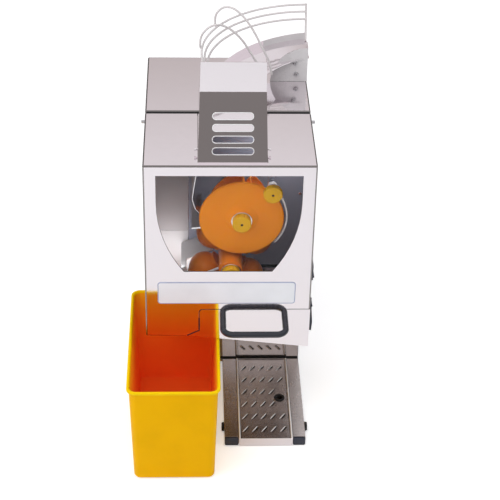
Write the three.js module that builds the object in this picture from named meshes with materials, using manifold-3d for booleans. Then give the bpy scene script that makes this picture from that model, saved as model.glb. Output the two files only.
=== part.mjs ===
// Automatic orange juicer for a counter: a rear cabinet with the gear motor, a press chamber with an
// upper cup drum and a lower ball drum, a pull-off front cover with a window, a juice tank drawer, a
// drip tray, a hopper with a quarter-turn feed ramp, and a bin for the peel.
// Millimetres. While it is built, X = 0 is the left side of the housing, Y = 0 the front panel, with
// +Y to the back, and Z = 0 the table. The finished group stands with its box centred on the origin.
import * as THREE from 'three';
import { mergeVertices } from 'three/addons/utils/BufferGeometryUtils.js';
import Module from 'manifold-3d';

const wasm = await Module();
wasm.setup();

// Driving sizes of the housing
const housingWidth = 300;
const housingTop = 591;
const chamberDepth = 190;
const cabinetDepth = 211;
const cabinetLift = 8;
const coverBottom = 224.5;
const sheet = 1.5;
const half = 0.5;

// Distances in from the housing's right side, which the press, the tank and the ramp follow
const inset = {
  press: 127, backplate: 222, chute: 188, gearPlate: 216, gearPlateRight: 10, feedHole: 197,
  feedHoleRight: 91, hopper: 205, leg: 158, fenceEnd: 197, tongue: 154, tankFront: 202, tankFlare: 225,
  tankLeft: 194, tankRight: 9, spout: 35, handle: 165, gland: 50,
};

// Clearances
const seatGap = 0.3;
const slideGap = 0.7;
const partingGap = 1.2;
const cutOverrun = 5;

// Cabinet
const cabinetFloor = 2.5;
const louvre = { rows: 6, columns: 2, width: 92, height: 4, pitch: 16, top: 520, gap: 24 };
const gland = {
  x: housingWidth - inset.gland, z: 70, bodyRadius: 8, nutRadius: 12, nutLength: 6, outside: 15, inside: 6,
};

// Base tongue, feet and drip tray
const tongue = {
  left: housingWidth - inset.tongue, right: housingWidth, front: -53, height: 18, bottom: 2, skin: 1.5,
  railWidth: 26.6,
};
const tongueTail = 25;
const endCap = { length: 5, proud: 1, chamfer: 3 };
const foot = { radius: 14, taper: 2, inset: 30, setback: 25 };
const bumper = { radius: 9, thickness: 5, setback: 43, height: 10 };
const tray = { wall: 1.2, floor: 1.2, lift: 2.2, ledge: 3.3, bead: 1.6, rear: 184, frontPlate: 2 };
const grid = { thickness: 1.2, drop: 1.3, margin: 2, rows: 6, columns: 5, rowPitch: 36.5, columnPitch: 18 };
const gridSlot = { length: 17, width: 3.6, lean: 34, lastRow: 156 };
const gridHole = { radius: 8.8, clear: 20.8, columnShift: 1.73, rowShift: 2.48 };

// Bin
const binWidth = 167.7;
const binGap = 10.7;
const binRight = tongue.left - binGap;
const bin = { left: binRight - binWidth, right: binRight, front: -152, rear: 155, height: 216.5, draft: 6 };
const binWall = { thickness: 2.5, corner: 16, rimProud: 3.5, rimHeight: 7, footHeight: 3, footInset: 9 };
const binCornerSteps = 4;

// Press: two drums of four, geared one to one
const drumPitch = 107.5;
const drumTeeth = 43;
const gearModule = drumPitch / drumTeeth;
const upperAxis = { x: housingWidth - inset.press, z: 453 };
const axisLean = 9.63;
const cupCount = 4;
const cup = { radius: 34, wall: 3, reach: 50, rim: 45, centre: 92 };
const drumCore = { radius: 32, hubRadius: 20, webHalf: 32, front: 49.6, rear: 134 };
const ball = { radius: 30, reach: 57.5, stem: 13, hubRadius: 22, front: 31.3, rear: 134, ribs: 6 };
const ribDepth_share = 0.07;
const shaft = { radius: 9, threadRadius: 6, proud: 2 };
const disc = { radius: 76, face: 45, thickness: 4.3, bossRadius: 29, bossTop: 19, bossHeight: 5, edge: 2 };
const washer = { radius: 19, thickness: 3 };
const knob = { radius: 17, length: 11, flutes: 10, fluteRadius: 3, fluteDepth: 1.2, cap: 1.5 };
const bearing = {
  flange: 32, flangeThickness: 5.5, body: 22, edge: 2, spigot: 20, front: 135.5, spigotEnd: 196,
};
const backplate = {
  left: housingWidth - inset.backplate, sideGap: 5, belowDrum: 93, topGap: 7, thickness: 4.6,
};
const guard = { inner: 79.5, outer: 82.5, start: 49.2, end: -42, front: 50, depth: 8, eye: 9 };
const guardPost = { radius: 5, reach: 81.9, shoulder: 8, root: 6 };
const feedGuide = { front: 51, thickness: 1.5 };
const guideAcross_shares = [0.59, 0.29, 0.18, 0.35, 0.65];
const guideUp_shares = [2, 1.1, 0.5, 0.15];
const knife = { tip: 61, angle: 200, length: 32, thickness: 3, front: 55, drop: 6 };
const stripper = { angle: 205, thickness: 3, inner: 24, outer: 100, bridge: 10, tine: 4.5, clear: 2 };
const chute = {
  ridgeX: housingWidth - inset.chute, ridgeZ: 264, run: 50, fall: 36.3, front: 6, thickness: 1.8,
};
const sensor = { leftOfDrum: 85, belowDrum: 85, width: 27, height: 41, depth: 24, corner: 4 };

// Drive
const gear = { front: 205, width: 16, addendum_share: 0.85, dedendum_share: 1.2 };
const toothWidth_shares = { root: 0.66, tip: 0.26 };
const pinionTeeth = 15;
const pinionAngle = -20;
const gearPlate = { front: 232, thickness: 6, post: 6, margin: 10 };
const gearPlateBox = {
  left: housingWidth - inset.gearPlate, right: housingWidth - inset.gearPlateRight, bottom: 282, top: 522,
};
const pinionShaft = { radius: 7, hole: 12, grip: 11, proud: 2 };
const gearbox = { half: 42, depth: 61, corner: 8 };
const motor = { radius: 42, depth: 70, ribs: 9, ribHeight: 3, ribWidth: 4, cowlRadius: 45, cowlDepth: 22 };

// Chamber walls and roof
const wallInset = 1.8;
const wallTop = 588;
const wallBottomGap = { left: 1, right: 5 };
const roof = { front: 14, drop: 5 };
const feedHole = {
  left: housingWidth - inset.feedHole, right: housingWidth - inset.feedHoleRight, front: 18, rear: 118,
};

// Front cover, window, pins
const coverReturn = 12;
const coverFlange = 25;
const coverDepth = 183;
const windowBorder = { left: 22, right: 24 };
const windowCut = {
  centre: half * (housingWidth + windowBorder.left - windowBorder.right),
  halfWidth: half * (housingWidth - windowBorder.left - windowBorder.right),
  top: 571, straightEnd: 515, halfFoot: 79, bottom: 370,
};
const pane = { margin: 7, thickness: 3 };
const coverPin = { y: 164, drop: 7.5, radius: 3, length: 7.5 };

// Tank drawer
const tankFront = {
  left: housingWidth - inset.tankFront, flareLeft: housingWidth - inset.tankFlare, flareTop: 237, top: 285,
  corner: 7, bottomLeft: 225.5, fall: 27,
};
const tank = {
  left: housingWidth - inset.tankLeft, right: housingWidth - inset.tankRight, top: 250, rear: 180, wall: 2,
  lift: 2.6, lip: 5.5,
};
const rail = { height: 4.2, front: 6 };
const spout = { x: housingWidth - inset.spout, y: 70, radius: 11, wall: 2, length: 22 };
const strainer = {
  rim: 1.5, depth: 14, wall: 1.2, gap: 1.5, rows: 3, columns: 7,
  slotWidth: 6, slotLength: 38,
};
const handle = {
  left: housingWidth - inset.handle, width: 126, projection: 42, height: 259.5, radius: 5.8, corner: 20,
};

// Switch and latch on the right side
const bezel = { y: 15, width: 22, z: 338, height: 34, proud: 5, lip: 3, back: 1.2 };
const rocker = { pivotProud: 3.2, thickness: 3.4, dish: 1.4, clearance: 0.8, tilt: -7 };
const latch = {
  y: 18, width: 24, z: 219.5, height: 63.5, base: 1.6, ear: 2.5, earInset: 1, pinRadius: 1.2, barrel: 2.3,
};
const latchLever = { thickest: 8.8, lipZ: 1, pivotDrop: 4, pivotProud: 4.4 };
const leverHeight_shares = { widest: 0.32, heel: 0.24 };

// Hopper
const hopperWidth = 119.6;
const hopperLeft = housingWidth - inset.hopper;
const hopper = {
  left: hopperLeft, right: hopperLeft + hopperWidth, front: 12, foldY: 61, foldZ: 701, top: 757, rear: 186,
};
const hopperSide = {
  topDepth: 15, shoulderY: 104, shoulderZ: 712, rearTop: 640, rearWall: 611, floorFront: 122,
};
const hopperTaper_share = 0.0715;
const hopperSlot = { count: 4, halfWidth: 36, height: 12, pitch: 20, first: 16 };
const thumbScrew = { y: 40, z: 600, radius: 4, stem: 2.2, length: 6.5 };

// Feed ramp and wire guard
const bendBeyond = 2;
const bend = { x: housingWidth + bendBeyond, y: 200 };
const ramp = { inner: 104, outer: 186, high: 640, low: 612, start: 90, end: 183, lip: 12, steps: 14 };
const fin = { y: 303.8, radius: 69, right: housingWidth, flange: 26, footDepth: 14 };
const rampLeg = { x: housingWidth - inset.leg, width: 18, y: 197 };
const wire = { radius: 2, sides: 5 };
const topWire = { radius: 200, z: 703 };
const middleWire = { radius: 195, z: 691 };
const lowWire = { radius: 190, z: 678 };
const fenceEnd = { x: housingWidth - inset.fenceEnd, y: 150, fall: 8, steps: 11 };
const hoop = { rise: 45, footRadius: 100, footDrop: 4 };

const finishes = {
  polishedSteel: { color: 0xe0dbe0, roughness: 0.14, metalness: 1 },
  brushedSteel: { color: 0xa59d95, roughness: 0.38, metalness: 1 },
  chrome: { color: 0xe6e6ea, roughness: 0.08, metalness: 1 },
  greyPlate: { color: 0x6e7480, roughness: 0.5, metalness: 0.4 },
  orangePlastic: { color: 0xda862a, roughness: 0.42, metalness: 0 },
  brownPlastic: { color: 0xb8661c, roughness: 0.45, metalness: 0 },
  goldPlastic: { color: 0xcd9b1e, roughness: 0.4, metalness: 0 },
  binPlastic: { color: 0xf0b400, roughness: 0.35, metalness: 0 },
  blackPlastic: { color: 0x23262d, roughness: 0.3, metalness: 0 },
  blackRubber: { color: 0x1d1e21, roughness: 0.8, metalness: 0 },
  clearPlastic: { color: 0xdfe8ee, roughness: 0.05, metalness: 0, transparent: true, opacity: 0.25 },
  palePlastic: { color: 0xc9ccd0, roughness: 0.35, metalness: 0 },
  gearSteel: { color: 0x8f9299, roughness: 0.35, metalness: 1 },
  castAluminium: { color: 0x9a9ca0, roughness: 0.55, metalness: 0.8 },
  motorPaint: { color: 0x3a4048, roughness: 0.55, metalness: 0.2 },
};

const group = new THREE.Group();
const degrees = Math.PI / 180;
const quarterTurn = Math.PI / 2;
const fullTurn = 2 * Math.PI;

// Turns a closed geometry into a solid whose faces point out
function solid(geometry) {
  const plain = geometry.index ? geometry.clone() : mergeVertices(geometry.clone());
  plain.deleteAttribute('normal');
  plain.deleteAttribute('uv');
  const merged = mergeVertices(plain);
  const points = Float32Array.from(merged.attributes.position.array);
  const corners = Uint32Array.from(merged.index.array);
  const a = new THREE.Vector3();
  const b = new THREE.Vector3();
  const c = new THREE.Vector3();
  let volume = 0;
  for (let i = 0; i < corners.length; i += 3) {
    a.fromArray(points, 3 * corners[i]);
    b.fromArray(points, 3 * corners[i + 1]);
    c.fromArray(points, 3 * corners[i + 2]);
    volume += a.dot(b.cross(c));
  }
  if (volume < 0) {
    for (let i = 0; i < corners.length; i += 3) {
      const first = corners[i];
      corners[i] = corners[i + 2];
      corners[i + 2] = first;
    }
  }
  return new wasm.Manifold(new wasm.Mesh({ numProp: 3, vertProperties: points, triVerts: corners }));
}

function join(...solids) {
  return solids.reduce((whole, piece) => whole.add(piece));
}

function cut(whole, ...tools) {
  return tools.reduce((rest, tool) => rest.subtract(tool), whole);
}

function box(x0, x1, y0, y1, z0, z1) {
  const geometry = new THREE.BoxGeometry(x1 - x0, y1 - y0, z1 - z0);
  geometry.translate(half * (x0 + x1), half * (y0 + y1), half * (z0 + z1));
  return solid(geometry);
}

// Bars with a round section along one axis
function barY(radius, x, z, y0, y1, sides = 24) {
  const geometry = new THREE.CylinderGeometry(radius, radius, y1 - y0, sides);
  geometry.translate(x, half * (y0 + y1), z);
  return solid(geometry);
}

function barX(radius, y, z, x0, x1, sides = 24) {
  const geometry = new THREE.CylinderGeometry(radius, radius, x1 - x0, sides);
  geometry.rotateZ(quarterTurn);
  geometry.translate(half * (x0 + x1), y, z);
  return solid(geometry);
}

function barZ(radius, x, y, z0, z1, sides = 24) {
  const geometry = new THREE.CylinderGeometry(radius, radius, z1 - z0, sides);
  geometry.rotateX(quarterTurn);
  geometry.translate(x, y, half * (z0 + z1));
  return solid(geometry);
}

// Outlines carried straight: drawn in XZ and carried along Y, in YZ along X, or in XY along Z
function carried(outline, depth, across, up, along, origin) {
  const geometry = new THREE.ExtrudeGeometry(outline, { depth, bevelEnabled: false, curveSegments: 4 });
  geometry.applyMatrix4(new THREE.Matrix4().makeBasis(across, up, along).setPosition(origin));
  return solid(geometry);
}

const toX = new THREE.Vector3(1, 0, 0);
const toY = new THREE.Vector3(0, 1, 0);
const toZ = new THREE.Vector3(0, 0, 1);

function plateAlongY(outline, y0, y1) {
  return carried(outline, y1 - y0, toX, toZ, toY.clone().negate(), new THREE.Vector3(0, y1, 0));
}

function plateAlongX(outline, x0, x1) {
  return carried(outline, x1 - x0, toY, toZ, toX, new THREE.Vector3(x0, 0, 0));
}

function plateAlongZ(outline, z0, z1) {
  return carried(outline, z1 - z0, toX, toY, toZ, new THREE.Vector3(0, 0, z0));
}

function polygon(...corners) {
  return new THREE.Shape(corners.map(([across, up]) => new THREE.Vector2(across, up)));
}

function roundedBox(x0, x1, y0, y1, radius) {
  const outline = new THREE.Shape();
  outline.absarc(x1 - radius, y0 + radius, radius, -quarterTurn, 0);
  outline.absarc(x1 - radius, y1 - radius, radius, 0, quarterTurn);
  outline.absarc(x0 + radius, y1 - radius, radius, quarterTurn, 2 * quarterTurn);
  outline.absarc(x0 + radius, y0 + radius, radius, 2 * quarterTurn, 3 * quarterTurn);
  return outline;
}

// A profile of [radius, y] turned about an axis that runs along Y
function turned(profile, axis, sides = 32) {
  const geometry = new THREE.LatheGeometry(profile.map(([r, y]) => new THREE.Vector2(r, y)), sides);
  geometry.translate(axis.x, 0, axis.z);
  return solid(geometry);
}

// A round rod along a curve
function rod(curve, radius, steps, sides = wire.sides) {
  const section = new THREE.Shape();
  for (let i = 0; i < sides; i += 1) {
    const angle = (fullTurn * i) / sides;
    const place = [radius * Math.cos(angle), radius * Math.sin(angle)];
    if (i === 0) section.moveTo(...place);
    else section.lineTo(...place);
  }
  return solid(new THREE.ExtrudeGeometry(section, { extrudePath: curve, steps, bevelEnabled: false }));
}

// A closed solid through rings of points, all with the same count; the ends are flat
function loft(rings, capPlane) {
  const count = rings[0].length;
  const points = rings.flat().flatMap((p) => [p.x, p.y, p.z]);
  const faces = [];
  for (let ring = 0; ring + 1 < rings.length; ring += 1) {
    for (let i = 0; i < count; i += 1) {
      const next = (i + 1) % count;
      const a = ring * count + i;
      const b = ring * count + next;
      faces.push(a, b, b + count, a, b + count, a + count);
    }
  }
  const lastRing = (rings.length - 1) * count;
  const cap = THREE.ShapeUtils.triangulateShape(rings[0].map(capPlane), []);
  for (const [a, b, c] of cap) {
    faces.push(c, b, a);
    faces.push(lastRing + a, lastRing + b, lastRing + c);
  }
  const geometry = new THREE.BufferGeometry();
  geometry.setAttribute('position', new THREE.Float32BufferAttribute(points, 3));
  geometry.setIndex(faces);
  return solid(geometry);
}

function polar(axis, radius, angle) {
  return { x: axis.x + radius * Math.cos(angle * degrees), z: axis.z + radius * Math.sin(angle * degrees) };
}

function add(name, whole, finish, reshape) {
  const { vertProperties, triVerts } = whole.getMesh();
  const geometry = new THREE.BufferGeometry();
  geometry.setAttribute('position', new THREE.Float32BufferAttribute(vertProperties, 3));
  geometry.setIndex(Array.from(triVerts));
  if (reshape) reshape(geometry.attributes.position);
  geometry.computeVertexNormals();
  const mesh = new THREE.Mesh(geometry, new THREE.MeshStandardMaterial(finish));
  mesh.name = name;
  group.add(mesh);
}

// Places that several pieces share
const cabinetFront = chamberDepth;
const cabinetRear = chamberDepth + cabinetDepth;
const floorTop = cabinetLift + cabinetFloor;
const plateFace = cabinetFront - seatGap - backplate.thickness;
const turnedAway = 180;
const lowerAxis = {
  x: upperAxis.x - drumPitch * Math.sin(axisLean * degrees),
  z: upperAxis.z - drumPitch * Math.cos(axisLean * degrees),
};
const towardLower = -90 - axisLean;
const pinionPitch = half * gearModule * (drumTeeth + pinionTeeth);
const pinionAxis = polar(lowerAxis, pinionPitch, pinionAngle);
const postAxis = polar(upperAxis, guardPost.reach, guard.start);
const wallLeft = wallInset + sheet;
const wallRight = housingWidth - wallLeft;
const sideFace = housingWidth - wallInset;
const trayLeft = tongue.left + tongue.railWidth + slideGap;
const trayRight = tongue.right - tongue.railWidth + 3 * slideGap;
const tankSlope = tankFront.fall / (housingWidth - tankFront.flareLeft);

function tankLine(x) {
  return tankFront.bottomLeft - (x - tankFront.flareLeft) * tankSlope;
}

// Rear cabinet: one folded shell, open behind and below, with the wall that faces the drip tray
function cabinetShell() {
  const outer = box(0, housingWidth, cabinetFront, cabinetRear, floorTop + seatGap, housingTop);
  const inner = box(
    sheet, housingWidth - sheet,
    cabinetFront + sheet, cabinetRear + cutOverrun,
    floorTop - cutOverrun, housingTop - sheet,
  );
  const bores = [upperAxis, lowerAxis].map((axis) => barY(
    bearing.spigot + seatGap, axis.x, axis.z,
    cabinetFront - cutOverrun, cabinetFront + cutOverrun,
  ));
  return cut(outer, inner, ...bores);
}

// Back panel inside the shell's opening, with rows of vent slots and the cable gland's hole
function backPanel() {
  const gap = sheet + seatGap;
  const rear = cabinetRear;
  const panel = box(gap, housingWidth - gap, rear - sheet, rear, floorTop + gap, housingTop - gap);
  const slots = [];
  const span = louvre.columns * louvre.width + (louvre.columns - 1) * louvre.gap;
  for (let row = 0; row < louvre.rows; row += 1) {
    for (let column = 0; column < louvre.columns; column += 1) {
      const left = half * (housingWidth - span) + column * (louvre.width + louvre.gap);
      const top = louvre.top - row * louvre.pitch;
      slots.push(box(
        left, left + louvre.width, rear - cutOverrun, rear + cutOverrun, top - louvre.height, top,
      ));
    }
  }
  const glandHole = barY(gland.bodyRadius + seatGap, gland.x, gland.z, rear - cutOverrun, rear + cutOverrun);
  return cut(panel, glandHole, ...slots);
}

function cableGland() {
  const rear = cabinetRear;
  const body = barY(gland.bodyRadius, gland.x, gland.z, rear - gland.inside, rear + gland.outside, 16);
  const nut = barY(gland.nutRadius, gland.x, gland.z, rear + seatGap, rear + seatGap + gland.nutLength, 6);
  const bore = half * gland.bodyRadius;
  return cut(
    join(body, nut),
    barY(bore, gland.x, gland.z, rear - gland.inside - cutOverrun, rear + gland.outside + cutOverrun, 12),
  );
}

// Cabinet floor with the low tongue in front, whose two hollow rails hold the drip tray
function baseFrame() {
  const rails = tongue.front + endCap.length;
  const floorRear = cabinetRear - sheet - seatGap;
  const floor = box(0, housingWidth, cabinetFront + seatGap, floorRear, cabinetLift, floorTop);
  const tail = box(
    tongue.left, tongue.right, rails, cabinetFront + tongueTail,
    tongue.bottom, cabinetLift + half * cabinetFloor,
  );
  const deck = box(tongue.left, tongue.right, rails, cabinetFront - seatGap, tongue.bottom, tongue.height);
  const trayWell = box(
    tongue.left + tongue.railWidth, trayRight + slideGap,
    rails - cutOverrun, tray.rear + slideGap,
    tongue.bottom + tongue.skin, tongue.height + cutOverrun,
  );
  const hollow = (left, right) => box(
    left + tongue.skin, right - tongue.skin,
    rails + tongue.skin, tray.rear,
    tongue.bottom - cutOverrun, tongue.height - tongue.skin,
  );
  return cut(
    join(floor, tail, deck),
    trayWell,
    hollow(tongue.left, tongue.left + tongue.railWidth),
    hollow(trayRight + slideGap, tongue.right),
  );
}

// Black corner feet that close the front ends of the two rails
function frontFoot(left, right) {
  const rear = tongue.front + endCap.length - seatGap;
  const front = tongue.front - endCap.proud;
  return plateAlongX(polygon(
    [front, 0],
    [rear, 0],
    [rear, tongue.height],
    [front + endCap.chamfer, tongue.height],
    [front, tongue.height - endCap.chamfer],
  ), left, right);
}

function rubberFoot(x, y) {
  const geometry = new THREE.CylinderGeometry(
    foot.radius, foot.radius - foot.taper, cabinetLift - seatGap, 20,
  );
  geometry.rotateX(quarterTurn);
  geometry.translate(x, y, half * (cabinetLift - seatGap));
  return solid(geometry);
}

function sideBumper(x0, x1) {
  return barX(bumper.radius, tongue.front + bumper.setback, bumper.height, x0, x1, 20);
}

// Pull-out drip tray: front plate flush with the tongue, ledge for the grid, a bead along each side
function dripTray() {
  const bottom = tongue.bottom + tray.lift;
  const rim = tongue.height + seatGap + tray.bead;
  const seat = gridTop() - grid.thickness - seatGap;
  const front = tongue.front;
  const body = box(trayLeft, trayRight, front, tray.rear, bottom, rim);
  const plate = box(
    trayLeft, trayRight, front - tray.frontPlate, front + tray.wall, half * tongue.bottom, rim,
  );
  const upper = box(
    trayLeft + tray.wall, trayRight - tray.wall, front + tray.wall, tray.rear - tray.wall,
    seat, rim + cutOverrun,
  );
  const ledge = tray.wall + tray.ledge;
  const lower = box(
    trayLeft + ledge, trayRight - ledge, front + ledge, tray.rear - ledge,
    bottom + tray.floor, seat + cutOverrun,
  );
  const beads = [trayLeft + tray.bead, trayRight - tray.bead].map(
    (x) => barY(tray.bead, x, rim, front - tray.frontPlate, tray.rear, 10),
  );
  return join(cut(join(body, plate), upper, lower), ...beads);
}

function gridTop() {
  return tongue.height + seatGap - grid.drop;
}

// Lift-off grid with leaning slots; the round finger hole takes the place of two of them
function dripGrid() {
  const margin = 2 * tray.bead + grid.margin;
  const left = trayLeft + margin;
  const right = trayRight - margin;
  const front = tongue.front + margin;
  const rear = tray.rear - margin;
  const middle = half * (left + right);
  const top = gridTop();
  const sheetOfGrid = box(left, right, front, rear, top - grid.thickness, top);
  const holeX = middle + gridHole.columnShift * grid.columnPitch;
  const holeY = gridSlot.lastRow - gridHole.rowShift * grid.rowPitch;
  const cuts = [barZ(gridHole.radius, holeX, holeY, top - cutOverrun, top + cutOverrun, 16)];
  const run = half * gridSlot.length;
  const side = half * gridSlot.width;
  for (let row = 0; row < grid.rows; row += 1) {
    for (let column = 0; column < grid.columns; column += 1) {
      const x = middle + (column - half * (grid.columns - 1)) * grid.columnPitch;
      const y = gridSlot.lastRow - row * grid.rowPitch;
      if (Math.hypot(x - holeX, y - holeY) < gridHole.clear) continue;
      const sinLean = Math.sin(gridSlot.lean * degrees);
      const cosLean = Math.cos(gridSlot.lean * degrees);
      const place = (along, across) => [
        x + along * sinLean + across * cosLean,
        y + along * cosLean - across * sinLean,
      ];
      const outline = polygon(
        place(-run, 0), place(side - run, -side), place(run - side, -side),
        place(run, 0), place(run - side, side), place(side - run, side),
      );
      cuts.push(plateAlongZ(outline, top - cutOverrun, top + cutOverrun));
    }
  }
  return cut(sheetOfGrid, ...cuts);
}

// Peel bin: drafted walls, rolled rim and four low feet
function peelBin() {
  const ring = (margin, z, radius) => {
    const x0 = bin.left + margin;
    const x1 = bin.right - margin;
    const y0 = bin.front + margin;
    const y1 = bin.rear - margin;
    const corners = [[x1, y0, -1], [x1, y1, 0], [x0, y1, 1], [x0, y0, 2]];
    return corners.flatMap(([x, y, turn]) => {
      const cx = x === x1 ? x - radius : x + radius;
      const cy = y === y1 ? y - radius : y + radius;
      return Array.from({ length: binCornerSteps + 1 }, (_, i) => {
        const angle = quarterTurn * (turn + i / binCornerSteps);
        return new THREE.Vector3(cx + radius * Math.cos(angle), cy + radius * Math.sin(angle), z);
      });
    });
  };
  const flat = (p) => new THREE.Vector2(p.x, p.y);
  const proud = binWall.rimProud;
  const bottom = binWall.footHeight;
  const rimBase = bin.height - binWall.rimHeight;
  const full = loft([
    ring(bin.draft + proud, bottom, binWall.corner - half * proud),
    ring(proud, rimBase, binWall.corner - half * proud),
    ring(0, rimBase + half * proud, binWall.corner),
    ring(0, bin.height - half * proud, binWall.corner),
    ring(half * proud, bin.height, binWall.corner - half * proud),
  ], flat);
  const wall = binWall.thickness + proud;
  const hollowRadius = binWall.corner - wall;
  const drift = (bin.draft * cutOverrun) / bin.height;
  const hollow = loft([
    ring(bin.draft + wall, bottom + binWall.thickness, hollowRadius),
    ring(wall - drift, bin.height + cutOverrun, hollowRadius),
  ], flat);
  const margin = bin.draft + proud + binWall.footInset;
  const feet = [bin.left + margin, bin.right - margin].flatMap(
    (x) => [bin.front + margin, bin.rear - margin].map(
      (y) => barZ(binWall.footInset, x, y, 0, bottom + half * binWall.thickness, 12),
    ),
  );
  return join(cut(full, hollow), ...feet);
}

// Plate behind the drums, bolted to the cabinet's front wall
function pressBackplate() {
  const plate = box(
    backplate.left, housingWidth - backplate.sideGap,
    plateFace, cabinetFront - seatGap,
    lowerAxis.z - backplate.belowDrum, housingTop - backplate.topGap,
  );
  const bores = [upperAxis, lowerAxis].map((axis) => barY(
    bearing.spigot + seatGap, axis.x, axis.z, plateFace - cutOverrun, cabinetFront,
  ));
  return cut(plate, ...bores);
}

// Flanged bearing housing of a drum shaft
function bearingHousing(axis) {
  const bore = shaft.radius + seatGap;
  const flangeRear = plateFace - seatGap;
  return turned([
    [bore, bearing.front],
    [bearing.body - bearing.edge, bearing.front],
    [bearing.body, bearing.front + bearing.edge],
    [bearing.body, flangeRear - bearing.flangeThickness],
    [bearing.flange, flangeRear - bearing.flangeThickness],
    [bearing.flange, flangeRear],
    [bearing.spigot, flangeRear],
    [bearing.spigot, bearing.spigotEnd],
    [bore, bearing.spigotEnd],
    [bore, bearing.front],
  ], axis, 18);
}

// Shaft from the hand knob's thread to the gear plate
function drumShaft(axis, hubFront, threadEnd) {
  const rear = gearPlate.front + gearPlate.thickness + shaft.proud;
  return turned([
    [0, threadEnd],
    [shaft.threadRadius, threadEnd],
    [shaft.threadRadius, hubFront],
    [shaft.radius, hubFront],
    [shaft.radius, rear],
    [0, rear],
  ], axis, 20);
}

// Upper drum: a hub and webs that carry four cups, open outwards, with the rims in one square
function cupDrum() {
  const phase = towardLower + half * (360 / cupCount);
  const pieces = [barY(
    drumCore.radius, upperAxis.x, upperAxis.z,
    cup.centre - drumCore.webHalf, cup.centre + drumCore.webHalf, 20,
  )];
  const hollows = [];
  const rimCuts = [];
  for (let i = 0; i < cupCount; i += 1) {
    const angle = phase + (360 * i) / cupCount;
    const centre = polar(upperAxis, cup.reach, angle);
    const shell = new THREE.SphereGeometry(cup.radius + cup.wall, 12, 8);
    shell.translate(centre.x, cup.centre, centre.z);
    pieces.push(solid(shell));
    const hollow = new THREE.SphereGeometry(cup.radius, 12, 8);
    hollow.translate(centre.x, cup.centre, centre.z);
    hollows.push(solid(hollow));
    const beyond = new THREE.BoxGeometry(2 * cup.radius, 4 * cup.radius, 4 * cup.radius);
    beyond.translate(cup.rim + cup.radius, 0, 0);
    beyond.rotateY(-angle * degrees);
    beyond.translate(upperAxis.x, cup.centre, upperAxis.z);
    rimCuts.push(solid(beyond));
  }
  const hub = barY(drumCore.hubRadius, upperAxis.x, upperAxis.z, drumCore.front, drumCore.rear, 20);
  const keepRadius = drumCore.hubRadius - cup.wall;
  const hubKeep = barY(keepRadius, upperAxis.x, upperAxis.z, drumCore.front, drumCore.rear, 20);
  const bore = barY(shaft.radius + seatGap, upperAxis.x, upperAxis.z,
    drumCore.front - cutOverrun, drumCore.rear + cutOverrun, 20);
  return cut(join(cut(join(...pieces, hub), ...hollows, ...rimCuts), hubKeep), bore);
}

// Squeezing ball with ribs that run from its tip to its stem
function ribbedBall() {
  const sphere = new THREE.SphereGeometry(ball.radius, 2 * ball.ribs, 7);
  const points = sphere.attributes.position;
  const sector = Math.PI / ball.ribs;
  const place = new THREE.Vector3();
  for (let i = 0; i < points.count; i += 1) {
    place.fromBufferAttribute(points, i);
    const column = Math.round(Math.atan2(place.z, place.x) / sector);
    const keep = Math.abs(column % 2) === 1 ? 1 - ribDepth_share : 1;
    points.setXYZ(i, place.x * keep, place.y, place.z * keep);
  }
  sphere.translate(0, ball.reach, 0);
  return sphere;
}

// Lower drum: four balls on stems round a hub; a ball sinks into each passing cup
function ballDrum() {
  const phase = towardLower + turnedAway + half * (360 / cupCount);
  const hub = barY(ball.hubRadius, lowerAxis.x, lowerAxis.z, ball.front, ball.rear, 20);
  const pieces = [];
  for (let i = 0; i < cupCount; i += 1) {
    const angle = phase + (360 * i) / cupCount;
    const stem = new THREE.CylinderGeometry(ball.stem, ball.hubRadius, ball.reach, 12);
    stem.translate(0, half * ball.reach, 0);
    for (const form of [ribbedBall(), stem]) {
      form.rotateX(quarterTurn);
      form.rotateY(-quarterTurn - angle * degrees);
      form.translate(lowerAxis.x, cup.centre, lowerAxis.z);
      pieces.push(solid(form));
    }
  }
  const bore = barY(shaft.radius + seatGap, lowerAxis.x, lowerAxis.z,
    ball.front - cutOverrun, ball.rear + cutOverrun, 20);
  return cut(join(hub, ...pieces), bore);
}

// Front disc of the upper drum, with a low cone round the knob
function drumDisc() {
  const bore = shaft.threadRadius + seatGap;
  const rear = disc.face + disc.thickness;
  return turned([
    [bore, disc.face - disc.bossHeight],
    [disc.bossTop, disc.face - disc.bossHeight],
    [disc.bossRadius, disc.face],
    [disc.radius - disc.edge, disc.face],
    [disc.radius, disc.face + disc.edge],
    [disc.radius, rear],
    [bore, rear],
    [bore, disc.face - disc.bossHeight],
  ], upperAxis, 36);
}

function flatWasher(axis, rear) {
  const bore = shaft.threadRadius + seatGap;
  const front = rear - washer.thickness;
  return turned([
    [bore, front], [washer.radius, front], [washer.radius, rear], [bore, rear], [bore, front],
  ], axis, 24);
}

// Hand knob with shallow flutes and a blind bore for the thread
function handKnob(axis, rear, boreRadius, boreDepth) {
  const front = rear - knob.length;
  const body = turned([
    [0, front],
    [knob.radius - knob.cap, front],
    [knob.radius, front + knob.cap],
    [knob.radius, rear],
    [0, rear],
  ], axis, 20);
  const flutes = Array.from({ length: knob.flutes }, (_, i) => {
    const place = polar(axis, knob.radius + knob.fluteRadius - knob.fluteDepth, (360 * i) / knob.flutes);
    return barY(knob.fluteRadius, place.x, place.z, front - cutOverrun, rear + cutOverrun, 6);
  });
  const bore = barY(boreRadius, axis.x, axis.z, rear - boreDepth, rear + cutOverrun, 12);
  return cut(body, bore, ...flutes);
}

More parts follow.
